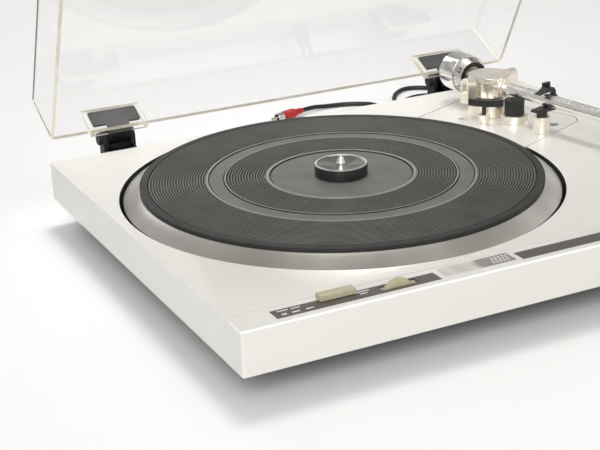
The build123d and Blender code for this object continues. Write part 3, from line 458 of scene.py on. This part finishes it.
def turned_metal(name, colour, roughness, painted_wedge=0.0):
    """Metal with rings round the axis. The fourth argument is how much darker its painted dark parts are, a
    painted reflection.
    """
    material, tree, shader, _ = new_material(name, colour, 1.0, roughness, Anisotropic=0.8)
    uv = add(tree, "ShaderNodeUVMap", uv_map="turned")
    rings = add(tree, "ShaderNodeMapping", {"Vector": uv.outputs["UV"], "Scale": (0.4, 1.0, 1.0)})
    noise = add(tree, "ShaderNodeTexNoise", {"Vector": rings.outputs[0], "Scale": per_mm(0.5), "Detail": 3.0})
    marks = {"Height": noise.outputs["Fac"], "Distance": 0.02 * MM, "Strength": 0.6}
    bump = add(tree, "ShaderNodeBump", marks)
    tree.links.new(bump.outputs["Normal"], shader.inputs["Normal"])
    # Painted reflection: a slow noise round the axis darkens parts of the base colour.
    around = add(tree, "ShaderNodeMapping", {"Vector": uv.outputs["UV"], "Scale": (14.0, 0.0, 0.0)})
    sectors = add(tree, "ShaderNodeTexNoise", {"Vector": around.outputs[0], "Scale": 1.0, "Detail": 2.0})
    spread = add(
        tree,
        "ShaderNodeMapRange",
        {"Value": sectors.outputs["Fac"], "From Min": 0.35, "From Max": 0.65, "To Min": 1.0 - painted_wedge},
    )
    tone = add(tree, "ShaderNodeMix", data_type="RGBA", blend_type="MULTIPLY")
    tone.inputs["Factor"].default_value = 1.0
    tone.inputs[6].default_value = linear(colour)  # sockets 6 and 7 are the two colours, 2 is the result
    tree.links.new(spread.outputs["Result"], tone.inputs[7])
    tree.links.new(tone.outputs[2], shader.inputs["Base Color"])
    tangent = add(tree, "ShaderNodeTangent", direction_type="UV_MAP", uv_map="turned")
    tree.links.new(tangent.outputs["Tangent"], shader.inputs["Tangent"])
    return material


TURNED = turned_metal("turned aluminium", "#F2EFE9", 0.3, 0.3)
TURNED_DARK = turned_metal("turned dark anodised aluminium", "#8B8984", 0.3)


# %% [markdown]
# ### Polished and ground metals
#
# The counterweight and the spindle are chromed, the arm tube is polished aluminium, the stub behind the
# pivot is ground steel, the dial has a satin plating and the screws are zinc plated. They differ mostly in
# how sharp their reflections are.

# %% Polished and ground metals
def plated(name, colour, roughness):
    """Bare or plated metal, a little duller in some places than in others."""
    material, tree, shader, coordinates = new_material(name, colour, 1.0, roughness)
    rough_patches(tree, shader, coordinates, 6, roughness * 0.8, roughness * 1.25)
    return material


CHROME = plated("chromium plate", "#EBEAE7", 0.12)
TUBE_METAL = plated("polished aluminium tube", "#F5F3EE", 0.24)
DIAL_METAL = plated("satin chromium plate", "#CFCDC8", 0.28)
STEEL = plated("ground steel", "#C6C4BF", 0.24)
ZINC = plated("zinc plate", "#B9B7AC", 0.38)


# %% [markdown]
# ### Rubber
#
# The mat is a soft synthetic rubber, moulded, with a greyish bloom on its ridges: matt, nearly black, and
# never as dark as it seems, because dust and bloom lighten it. Its grooves are darker with painted shade, its
# plain outer border is darker too, and the raised rings between its zones are paler with a painted highlight.
# The feet and the leads are darker, with no bloom.

# %% Rubber
def rubber(name, light, dark, roughness):
    """Matt rubber or soft PVC, blotched by handling."""
    material, tree, shader, coordinates = new_material(name, light, 0.0, roughness, Specular_IOR_Level=0.4)
    blotches(tree, shader, coordinates, 18.0, light, dark, 0.3, 0.7)
    grain(tree, shader, coordinates, 0.3, 0.02, 0.5)
    return material


MAT_RUBBER = rubber("bloomed mat rubber", "#666762", "#5A5B56", 0.5)
# Painted shade for the mat's grooves, also used on its darker plain border, and a painted highlight for its
# beads.
MAT_SHADE_AND_BORDER = rubber("darker mat rubber with painted groove shade", "#2B2B29", "#242423", 0.6)
MAT_BEAD_HIGHLIGHT = rubber("mat rubber with painted bead highlight", "#8B8C86", "#7D7E78", 0.45)
PAD_RUBBER = rubber("foot rubber", "#26262A", "#1B1B1C", 0.75)
LEAD_PVC = rubber("soft black PVC", "#1C1C1D", "#141415", 0.42)


# %% [markdown]
# ### Moulded plastics
#
# Black hinges and arm fittings are glass-filled nylon or ABS from a spark-eroded mould, which leaves a fine
# even grain. The cream levers are ABS too, and have yellowed a little. A sprinkle of pale dust lies on the
# black ones.

# %% Moulded plastics
def moulded(name, light, dark, roughness, grain_size=0.45, depth=0.02):
    """A moulded plastic, or any other finish with a fine even grain."""
    material, tree, shader, coordinates = new_material(name, light, 0.0, roughness)
    blotches(tree, shader, coordinates, 5, light, dark, 0.35, 0.65)
    grain(tree, shader, coordinates, grain_size, depth, 0.6)
    return material


def dusty_black():
    """Black nylon with pale specks of dust on it."""
    material, tree, shader, coordinates = new_material(
        "dusty black nylon", "#1A1A1B", 0.0, 0.55, Specular_IOR_Level=0.35
    )
    specks = add(tree, "ShaderNodeTexVoronoi", {"Vector": coordinates, "Scale": per_mm(1.4)})
    ramp = add(tree, "ShaderNodeValToRGB", {"Fac": specks.outputs["Distance"]})
    ramp.color_ramp.elements[0].position = 0.07
    ramp.color_ramp.elements[1].position = 0.16
    ramp.color_ramp.elements[0].color = linear("#6A6862")
    ramp.color_ramp.elements[1].color = linear("#19191A")
    tree.links.new(ramp.outputs["Color"], shader.inputs["Base Color"])
    grain(tree, shader, coordinates, 0.5, 0.05, 0.7)
    return material


BLACK = moulded("black ABS", "#202021", "#19191A", 0.38)
HINGE_BLACK = dusty_black()
CREAM = moulded("cream ABS", "#B9B196", "#AEA68A", 0.4)
RED = moulded("red PVC", "#B3161F", "#A2121B", 0.35)
WHITE = moulded("white PVC", "#D8D6D0", "#CDCBC4", 0.35)
# Painted shade: matt black inside the plinth's well, where little light reaches.
PAINTED_WELL_SHADE = moulded("painted well shade in matt black", "#19191A", "#131314", 0.8)
PAN_BLACK = moulded("black moulded base", "#232324", "#1C1C1D", 0.55, 0.8, 0.05)
MARKS = moulded("white printing ink", "#E8E6E0", "#DAD8D2", 0.6)
NUMERALS = moulded("black printing ink", "#161617", "#101011", 0.5)


# %% [markdown]
# ### Clear acrylic
#
# The cover is cast acrylic with an index of 1.49. Its sheets look clear, but light that travels along a sheet
# and comes out at its edge has gone through a lot of plastic, so the edges are warmer and brighter. Absorption in
# the volume gives the sheets their tint, and that edge glow is painted: the cut rim and the small faces get a
# pale, part see-through colour. The strobe window is a glossy smoke grey plastic, pale at its left end and
# darker at its right, under the printed marks.

# %% Clear acrylic
def acrylic(name, tint, density, roughness):
    """Clear plastic with a tint that grows with its thickness, and faint scuffs."""
    material, tree, shader, coordinates = new_material(
        name, "#FFFFFF", 0.0, roughness, IOR=1.49, Transmission_Weight=1.0
    )
    scuffs = add(tree, "ShaderNodeTexNoise", {"Vector": coordinates, "Scale": per_mm(60), "Detail": 6.0})
    spread = add(
        tree,
        "ShaderNodeMapRange",
        {
            "Value": scuffs.outputs["Fac"],
            "From Min": 0.55,
            "From Max": 0.8,
            "To Min": roughness,
            "To Max": 0.08,
        },
    )
    tree.links.new(spread.outputs["Result"], shader.inputs["Roughness"])
    absorb = add(tree, "ShaderNodeVolumeAbsorption", {"Color": linear(tint), "Density": density})
    output = next(node for node in tree.nodes if node.type == "OUTPUT_MATERIAL")
    tree.links.new(absorb.outputs[0], output.inputs["Volume"])
    return material


CLEAR = acrylic("clear cast acrylic", "#F2E8C8", 2.0, 0.01)


def paint_edge_glow():
    """Painted glow for the sawn and flame-polished rim and the small faces: a pale colour stands in for the light
    that comes along the sheet.
    """
    material, tree, shader, coordinates = new_material(
        "acrylic painted edge glow", "#F6F0E2", 0.0, 0.3, IOR=1.49, Transmission_Weight=0.45
    )
    blotches(tree, shader, coordinates, 25, "#FAF6EC", "#EBE1C9", 0.35, 0.65)
    return material


PAINTED_EDGE_GLOW = paint_edge_glow()


PRINTED_FROM, PRINTED_TO = -0.052, -0.040  # the x, in metres, between which the window darkens


def smoked_window():
    """Smoke grey plastic, streaked, and darker towards its printed right end."""
    material, tree, shader, coordinates = new_material(
        "smoked acrylic", "#8A877F", 0.0, 0.06, IOR=1.49, Coat_Weight=1.0, Coat_Roughness=0.03
    )
    streaks = add(tree, "ShaderNodeTexNoise", {"Vector": coordinates, "Scale": per_mm(22), "Detail": 4.0})
    along = add(tree, "ShaderNodeSeparateXYZ", {"Vector": coordinates}).outputs["X"]
    fade = {"Value": along, "From Min": PRINTED_FROM, "From Max": PRINTED_TO}
    printed_end = add(tree, "ShaderNodeMapRange", fade)
    both = {0: streaks.outputs["Fac"], 1: printed_end.outputs["Result"]}
    sum_up = add(tree, "ShaderNodeMath", both, operation="ADD")
    ramp = add(tree, "ShaderNodeValToRGB", {"Fac": sum_up.outputs["Value"]})
    ramp.color_ramp.elements[0].position = 0.4
    ramp.color_ramp.elements[1].position = 1.0
    ramp.color_ramp.elements[0].color = linear("#D6D4CC")
    ramp.color_ramp.elements[1].color = linear("#85837D")
    tree.links.new(ramp.outputs["Color"], shader.inputs["Base Color"])
    return material


WINDOW = smoked_window()

# %% [markdown]
# ### Inside the plinth
#
# The boards, coils, magnet and transformer show only when the player is taken apart, but each still gets
# the finish of the real thing: green solder resist, enamelled copper, ferrite, steel stampings.

# %% Inner finishes
BOARD = moulded("green solder resist", "#1F5A35", "#1A4C2D", 0.35, 1.2, 0.02)
COPPER = plated("enamelled copper wire", "#B4693A", 0.35)
FERRITE = moulded("sintered ferrite", "#3A3A3B", "#313132", 0.6)
STAMPED = plated("steel stampings", "#8E8C88", 0.45)
LAMP = moulded("frosted lamp housing", "#D9CFC0", "#CFC4B3", 0.5)

# %% [markdown]
# ## Plinth, panel and plates
#
# The plinth, the front strip and the flat plates keep the engineering model's shape exactly. They only need
# the fine round edges that a mould or a punch leaves. The strip's chamfers get a painted highlight, and the
# faces inside the plinth's well get painted shade, a matt black where little light reaches.

# %% Plinth and plates
WELL_X, WELL_FRONT, WELL_BACK, WELL_TOP = 214.5, -180.5, 149.5, 50.5  # millimetres
cabinet = softened("cabinet", 0.25)
front_strip = softened("front_strip", 0)
dress(LACQUER, cabinet, front_strip)
front_strip.data.materials.append(PAINTED_EDGE_HIGHLIGHT)
# Painted highlight: the chamfers along the strip's front top edge take the near white finish.
for face in front_strip.data.polygons:
    if face.normal.y < -0.2 and face.normal.z > 0.2:
        face.material_index = 1
# Painted shade: the floor and wall of the well under the platter get the matt black.
cabinet.data.materials.append(PAINTED_WELL_SHADE)
for face in cabinet.data.polygons:
    x, y, z = face.center / MM
    if abs(x) < WELL_X and WELL_FRONT < y < WELL_BACK and z < WELL_TOP:
        face.material_index = 1
dress(PANEL, softened("tonearm_panel", 0.25), softened("start_button", 0.25), softened("stop_button", 0.25))
dress(PLATE, softened("speed_plate", 0.1, 1), softened("control_plate", 0.1, 1))
dress(CREAM, softened("speed_lever", 0.15), softened("cue_lever", 0.15))
dress(WINDOW, softened("strobe_window", 0.15))
dress(PAN_BLACK, softened("base_pan", 0.4), softened("feet", 0.6))
dress(PAD_RUBBER, softened("foot_pads", 0.6))
dress(ZINC, "case_screws", "bearing_housing")
dress(BLACK, "slide_switches", "pitch_potentiometer")
dress(LAMP, "strobe_lamp")
dress(BOARD, "motor_board", "power_board", "control_board")
dress(COPPER, "motor_coils")
dress(FERRITE, "rotor_magnet")
dress(STAMPED, "transformer")

# %% [markdown]
# ## Platter, mat and adapter
#
# The platter is one turned casting: a sloping bright rim, a lip under the mat and a deep skirt. The mat's
# ridges are real geometry, because their shadows make its sheen. Each ridge is one step of a loop: up,
# across, down. Raised rings, the beads, close its ridged zones, and its middle is a plain dish. The adapter
# has a dark dished top inside a bright turned rim, and the spindle stands up through it.

# %% Platter
PLATTER_AT = (-48.3, -14.4)
PLATTER_TOP = 56.5
MAT_TOP = 59.5
on_spindle = placed(*PLATTER_AT, 0)
platter_outline = [
    (3.6, 49.0), (3.6, PLATTER_TOP), (145.4, PLATTER_TOP), (146.0, 56.1), (156.4, 49.9), (157.0, 49.2),
    (157.0, 31.2), (156.6, 31.0), (153.6, 31.0), (153.5, 50.0), (145.0, 53.0), (12.0, 53.0), (12.0, 49.0),
]
platter = turned("platter_turned", "platter", platter_outline, on_spindle, 256)
ring_uv(platter, PLATTER_AT[0] * MM, PLATTER_AT[1] * MM)
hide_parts("platter")
dress(TURNED, platter)

RIDGE_PITCH = 2.0
RIDGE_DEPTH = 1.3


def ridges(inner, outer, height):
    """Outline points of rounded ridges between two radii, from the outside in."""
    count = round((outer - inner) / RIDGE_PITCH)
    pitch = (outer - inner) / count
    points = []
    for index in range(count):
        edge = outer - index * pitch
        points += [
            (edge - 0.08 * pitch, height - RIDGE_DEPTH),
            (edge - 0.42 * pitch, height - RIDGE_DEPTH),
            (edge - 0.52 * pitch, height - 0.15),
            (edge - 0.75 * pitch, height),
            (edge - 0.98 * pitch, height - 0.15),
        ]
    return points


mat_outline = [
    (3.8, PLATTER_TOP),
    (144.5, PLATTER_TOP),
    (144.75, 56.8),
    (144.7, 59.1),
    (144.2, 59.45),
    (143.6, MAT_TOP),
    (139.2, MAT_TOP),
    *ridges(97.4, 139.0, MAT_TOP),
    (97.0, MAT_TOP),
    (95.8, MAT_TOP),
    (95.6, 58.3),
    (95.0, 58.3),
    (94.8, 58.95),
    (85.0, 58.95),
    (84.8, 58.3),
    (84.3, 58.3),
    (84.1, MAT_TOP),
    (83.0, MAT_TOP),
    *ridges(54.2, 82.8, MAT_TOP),
    (53.8, MAT_TOP),
    (51.9, MAT_TOP),
    (51.7, 57.9),
    (50.9, 57.9),
    (50.7, 58.85),
    (25.0, 58.7),
    (4.2, 58.7),
    (3.8, 58.5),
]
mat = turned("mat_ridged", "platter", mat_outline, on_spindle, 192, sharp=50)
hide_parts("platter_mat")
dress(MAT_RUBBER, mat)
mat.data.materials.append(MAT_SHADE_AND_BORDER)
mat.data.materials.append(MAT_BEAD_HIGHLIGHT)
spindle_line = Vector((*PLATTER_AT, 0)) * MM
BEADS = ((51.8, 53.9), (82.9, 84.2), (95.7, 97.1))  # from one radius to another
DISH_R, EDGE_R = 50.8, 139.3  # the plain middle ends at one, and the plain edge starts at the other
DEEP, FLANK, CREST = MAT_TOP - 0.7, MAT_TOP - 0.4, MAT_TOP - 0.1
# Painted shade and highlight: faces down in the grooves and the plain outer border get the darker rubber, and the
# beads' crests get the paler one.
for face in mat.data.polygons:
    reach = (face.center - spindle_line).xy.length / MM
    height = face.center.z / MM
    in_groove = height < DEEP or (height < FLANK and abs(face.normal.z) < 0.9)
    if in_groove or reach > EDGE_R:
        face.material_index = 1
    elif height > CREST and any(low < reach < high for low, high in BEADS):
        face.material_index = 2
    if height < DEEP and reach < DISH_R:
        face.material_index = 0

# %% Adapter and spindle
adapter_outline = [
    (3.65, 58.85), (3.65, 64.9), (4.2, 65.0), (16.4, 66.5), (17.3, 67.3), (17.6, 67.4),
    (18.5, 67.4), (18.9, 67.1), (19.05, 66.7), (19.05, 59.3), (18.7, 58.85),
]
adapter = turned("adapter_turned", "adapter", adapter_outline, on_spindle, 128)
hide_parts("record_adapter")
ring_uv(adapter, PLATTER_AT[0] * MM, PLATTER_AT[1] * MM)
dress(BLACK, adapter)
adapter.data.materials.append(TURNED_DARK)
adapter.data.materials.append(TURNED)
DISH_Z, RIM_Z = 64.9 * MM, 67 * MM  # the dark dish starts at one, and the bright rim at the other
for face in adapter.data.polygons:
    if face.center.z > DISH_Z and face.normal.z > 0.2:
        face.material_index = 1 if face.center.z < RIM_Z else 2
spindle_outline = [
    (0, 19.2), (3.5, 19.2), (3.5, 67.2), (3.3, 67.8), (1.5, 71.9), (1.1, 72.4), (0.6, 72.6), (0, 72.6),
]
spindle = turned("spindle_ground", "platter", spindle_outline, on_spindle, 64, closed=False)
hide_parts("spindle")
dress(CHROME, spindle)

# %% [markdown]
# ## Arm
#
# The arm's castings, the counterweight and its dial keep the engineering shape with softened edges. The
# tube and the stub are round all the way along, so they shade smoothly instead.

# %% Arm castings
dress(ARM_METAL, softened("arm_base", 0.4), softened("arm_yoke", 0.4), softened("arm_pivot", 0.3))
dress(ARM_METAL, softened("anti_skate_disc", 0.2), softened("arm_rest_post", 0.3), softened("headshell", 0.4))
dress(ARM_METAL, softened("lift_cylinder", 0.2))
dress(TUBE_METAL, smoothed("arm_tube"))
dress(STEEL, smoothed("arm_stub"))
dress(BLACK, softened("lift_bar", 0.4), softened("arm_cradle", 0.25), softened("arm_latch", 0.25))
dress(BLACK, softened("anti_skate_knob", 0.25), softened("cartridge", 0.3))
dress(RED, "stylus")
dress(CHROME, softened("counterweight", 0.3))
dress(DIAL_METAL, softened("force_dial", 0.2))
dress(CREAM, softened("pitch_wheel", 0.1))

# %% [markdown]
# ### Numbers on the dial
#
# The dial's cone is marked in grams from 0 to 2.5, and turns with its zero on top once the arm is balanced.
# Each number is a text object made a mesh, then laid on the cone by one matrix: its columns are the way
# round the dial, the way along the arm and the way out of the cone.

# %% Dial markings
WEIGHT_AXIS = (138.2, 76.2)  # x and z of the stub's centre line
DIAL_Y, DIAL_R, CONE = 102.6, 14.0, math.atan2(2.6, 8.0)


def on_cone(turn, along, out=0.0):
    """The matrix of a place on the dial, so far round from the top and so far along from its middle."""
    radial = Vector((math.sin(turn), 0, math.cos(turn)))
    round_way = Vector((math.cos(turn), 0, -math.sin(turn)))
    along_way = Vector((0, math.cos(CONE), 0)) + radial * math.sin(CONE)
    outward = radial * math.cos(CONE) - Vector((0, math.sin(CONE), 0))
    centre = Vector((WEIGHT_AXIS[0], DIAL_Y, WEIGHT_AXIS[1])) + radial * DIAL_R
    place = (centre + along_way * along + outward * out) * MM
    return Matrix.Translation(place) @ Matrix((round_way, along_way, outward)).transposed().to_4x4()


NUMBERS = ("0", ".5", "1", "1.5", "2", "2.5")
NUMBER_SIZE, NUMBER_ALONG, INK = 4.6, -0.9, 0.06
TICKS, TICK_END = 30, 4.0
bm = bmesh.new()
for index, number in enumerate(NUMBERS):
    font = bpy.data.curves.new("number", "FONT")
    font.body = number
    font.size = NUMBER_SIZE * MM
    font.align_x = "CENTER"
    font.align_y = "CENTER"
    font.extrude = INK * MM
    text = bpy.data.objects.new("number", font)
    flat = bpy.data.meshes.new_from_object(text)
    flat.transform(on_cone(2 * math.pi * index / len(NUMBERS), NUMBER_ALONG, 0.08))
    bm.from_mesh(flat)
    bpy.data.objects.remove(text)
for index in range(TICKS):
    reach = 1.6 if index % 5 else 2.4
    tick = on_cone(2 * math.pi * index / TICKS, TICK_END - reach / 2, 0.03)
    size = Matrix.Diagonal((0.3 * MM, reach * MM, 0.04 * MM, 1))
    bmesh.ops.create_cube(bm, size=1, matrix=tick @ size)
numerals = to_object(bm, "dial_numbers", "force_dial")
dress(NUMERALS, numerals)
COLLAR_FROM = 76.2  # the collar's outline is drawn along Z from this y
collar_front, collar_back = 98.55 - COLLAR_FROM, 98.9 - COLLAR_FROM
collar_start = Vector((WEIGHT_AXIS[0], COLLAR_FROM, WEIGHT_AXIS[1])) * MM
collar = turned(
    "dial_collar",
    "force_dial",
    [(8.6, collar_back), (9.8, collar_front), (12.4, collar_front), (12.4, collar_back)],
    Matrix.Translation(collar_start) @ Matrix.Rotation(-math.pi / 2, 4, "X"),
    64,
)
dress(BLACK, collar)

# %% [markdown]
# ### Printed marks
#
# The plates carry small white printed legends. They are kept as plain bars here: what they say is left out.
# The strobe window has a grid of white dashes printed behind its right end.

# %% Printed marks
PLATE_INK, WINDOW_INK = 51.21, 51.12  # heights of the ink on the plates and on the window


def printed(name, bars, z):
    """Thin printed bars: each is (x, y, length, width) in millimetres."""
    bm = bmesh.new()
    for x, y, length, width in bars:
        size = Matrix.Diagonal((length * MM, width * MM, 0.03 * MM, 1))
        bmesh.ops.create_cube(bm, size=1, matrix=Matrix.Translation(Vector((x, y, z)) * MM) @ size)
    dress(MARKS, to_object(bm, name, "cabinet"))


speed_marks = [
    (-182, -190.6, 7, 1.0),
    (-173.5, -190.6, 6, 1.0),
    (-183, -195.6, 3.2, 1.7),
    (-175.5, -195.6, 5, 1.2),
    (-166.5, -195.6, 5, 1.2),
    (-129, -190.6, 9, 1.0),
    (-129.5, -193.6, 5, 1.0),
]
printed("speed_marks", speed_marks, PLATE_INK)
control_marks = [(88, -190.6, 6, 1.0), (124, -190.6, 6, 1.0), (160, -190.4, 3, 1.0), (160, -194.5, 3, 1.0)]
printed("control_marks", control_marks, PLATE_INK)
strobe_rows = [
    (-38 + 2.6 * column + 0.8 * row, -194.6 + 2.4 * row, 1.7, 0.9) for row in range(4) for column in range(5)
]
printed("strobe_marks", strobe_rows, WINDOW_INK)

# %% [markdown]
# ## Cover and hinges
#
# The cover is shaded flat, because its sheets are flat and smooth shading would bend what is seen through
# them. Its small faces and the end of its rim get a painted glow, the pale edge colour. It throws no shadow of
# its own, as clear plastic hardly does.

# %% Cover and hinges
OPEN = math.radians(63.5)
cover_up = Vector((0, math.sin(OPEN), math.cos(OPEN)))
bm = merged("dust_cover")
bmesh.ops.dissolve_limit(bm, angle_limit=FLAT, verts=bm.verts, edges=bm.edges)
cover = to_object(bm, "dust_cover_clear", "cover", 20, drawn=False)
cover.data.shade_flat()
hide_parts("dust_cover")
cover.visible_shadow = False
dress(CLEAR, cover)
cover.data.materials.append(PAINTED_EDGE_GLOW)
HINGE_LINE = Vector((0, 170.9, 55.7)) * MM
RIM_DEPTH = 3.6 * MM  # the rim's end lies further below the hinge line than this
EDGE_AREA = 320 * MM * MM  # the folds and the sides of the hinge pockets are smaller than this
# Painted glow: narrow faces and the downward faces at the rim's end get the pale edge colour.
for face in cover.data.polygons:
    at_rim = (face.center - HINGE_LINE).dot(cover_up) < -RIM_DEPTH
    narrow = face.area < EDGE_AREA
    if narrow or (at_rim and face.normal.dot(cover_up) < -0.99):
        face.material_index = 1
for side in ("left", "right"):
    dress(HINGE_BLACK, softened("hinge_leaf_" + side, 0.5), softened("hinge_bracket_" + side, 0.25))

# %% [markdown]
# ## Leads, plugs and glands
#
# Each lead ends in a phono plug, with a ribbed sleeve in the channel's colour. The leads have
# their real length, and their coils lie behind the plinth.

# %% Leads, plugs and glands
dress(LEAD_PVC, red_lead, white_lead)
dress(BLACK, softened("phono_gland", 0.3), softened("mains_gland", 0.3))


def phono_plug(node, start, direction, material):
    """A phono plug in three pieces: ribbed sleeve, metal shell and centre pin. Places are in millimetres."""
    matrix = placed(*start, direction)
    ribs = [(4.6 if index % 2 else 4.2, 12.5 + 1.1 * index) for index in range(12)]
    boot = [(0, 0), (2.3, 0), (2.7, 1), (3.2, 9), (3.2, 10.2), (4.4, 11.2)]
    grip_end = [(4.4, 25.6), (4.0, 26), (0, 26)]
    sleeve = turned(node + "_sleeve", "cabinet", [*boot, *ribs, *grip_end], matrix, 32, closed=False)
    shell = turned(
        node + "_shell", "cabinet",
        [(3.7, 26.05), (4.1, 26.05), (4.1, 32.8), (3.9, 33), (3.6, 33), (3.5, 32.8), (3.5, 26.3)], matrix, 32,
    )
    pin = turned(
        node + "_pin", "cabinet",
        [(0, 26.1), (1.6, 26.1), (1.6, 39.6), (1.2, 40.6), (0.5, 41), (0, 41)], matrix, 24, closed=False,
    )
    dress(material, sleeve)
    dress(CHROME, shell, pin)
    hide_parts(node)
    return [sleeve, shell, pin]


red_plug = phono_plug("plug_red", (80, 306.5, 5.2), (-13, -4, 0), RED)
white_plug = phono_plug("plug_white", (225.9, 270, 5.2), (0, 1, 0), WHITE)
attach(red_lead, "cabinet")
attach(white_lead, "cabinet")
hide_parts("lead_red_start", "lead_red_end", "lead_red_coil")
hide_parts("lead_white_run", "lead_white_coil")

# %% [markdown]
# ## Floor and light
#
# The player stands on a plain white sweep. A soft key light hangs overhead, a little to the right and behind, and
# lays the shadow towards the front left. A large window light from the front left fills that shadow and lights
# the front, and a weak light from behind marks the cover's edges. The surrounding is white at the horizon and a
# warmer grey overhead, with soft lighter and darker patches for metal and acrylic to reflect, and it is brighter
# in front of the player than behind it.

# %% Floor and light
floor_mesh = bpy.data.meshes.new("floor")
bm = bmesh.new()
bmesh.ops.create_grid(bm, x_segments=1, y_segments=1, size=6)
bm.to_mesh(floor_mesh)
bm.free()
floor = bpy.data.objects.new("floor", floor_mesh)
bpy.context.collection.objects.link(floor)
PAPER = new_material("white paper", "#EFEFEF", 0.0, 0.9)[0]
dress(PAPER, floor)


def soft_light(name, place, size, power, aim=(0, 0, 0)):
    """A square area light at a place in metres, aimed at a point."""
    lamp = bpy.data.objects.new(name, bpy.data.lights.new(name, "AREA"))
    lamp.data.size = size
    lamp.data.energy = power
    lamp.matrix_world = Matrix.Translation(place) @ (
        (Vector(aim) - Vector(place)).to_track_quat("-Z", "Y").to_matrix().to_4x4()
    )
    bpy.context.collection.objects.link(lamp)


soft_light("key", (0.25, 0.5, 2.4), 0.6, 19)
soft_light("window", (-1.3, -2.0, 1.5), 1.4, 42, (0, -0.1, 0))
soft_light("rim", (-0.3, 2.0, 1.3), 0.7, 5)
PATCH_DARK, PATCH_LIGHT = 0.43, 0.66  # strengths of the surrounding's patches
IN_FRONT, BEHIND = 1.35, 0.75  # what that strength is multiplied by
world = bpy.data.worlds.new("studio")
world.use_nodes = True
sky = world.node_tree
heading = add(sky, "ShaderNodeTexCoord").outputs["Generated"]
height = add(sky, "ShaderNodeSeparateXYZ", {"Vector": heading}).outputs["Z"]
walls = add(sky, "ShaderNodeValToRGB", {"Fac": height})
walls.color_ramp.elements[0].color = linear("#FFFFFF")
walls.color_ramp.elements[1].color = linear("#CDCAC4")
patches = add(sky, "ShaderNodeTexNoise", {"Vector": heading, "Scale": 2.3, "Detail": 0.0})
shade = add(sky, "ShaderNodeMapRange", {"Value": patches.outputs["Fac"], "From Min": 0.42, "From Max": 0.54})
shade.inputs["To Min"].default_value = PATCH_DARK
shade.inputs["To Max"].default_value = PATCH_LIGHT
depth = add(sky, "ShaderNodeSeparateXYZ", {"Vector": heading}).outputs["Y"]
front = add(
    sky, "ShaderNodeMapRange", {"Value": depth, "From Min": -1.0, "To Min": IN_FRONT, "To Max": BEHIND}
)
factors = {0: shade.outputs["Result"], 1: front.outputs["Result"]}
power = add(sky, "ShaderNodeMath", factors, operation="MULTIPLY")
sky.links.new(walls.outputs["Color"], sky.nodes["Background"].inputs["Color"])
sky.links.new(power.outputs["Value"], sky.nodes["Background"].inputs["Strength"])
bpy.context.scene.world = world
bpy.context.scene.view_settings.view_transform = "Standard"
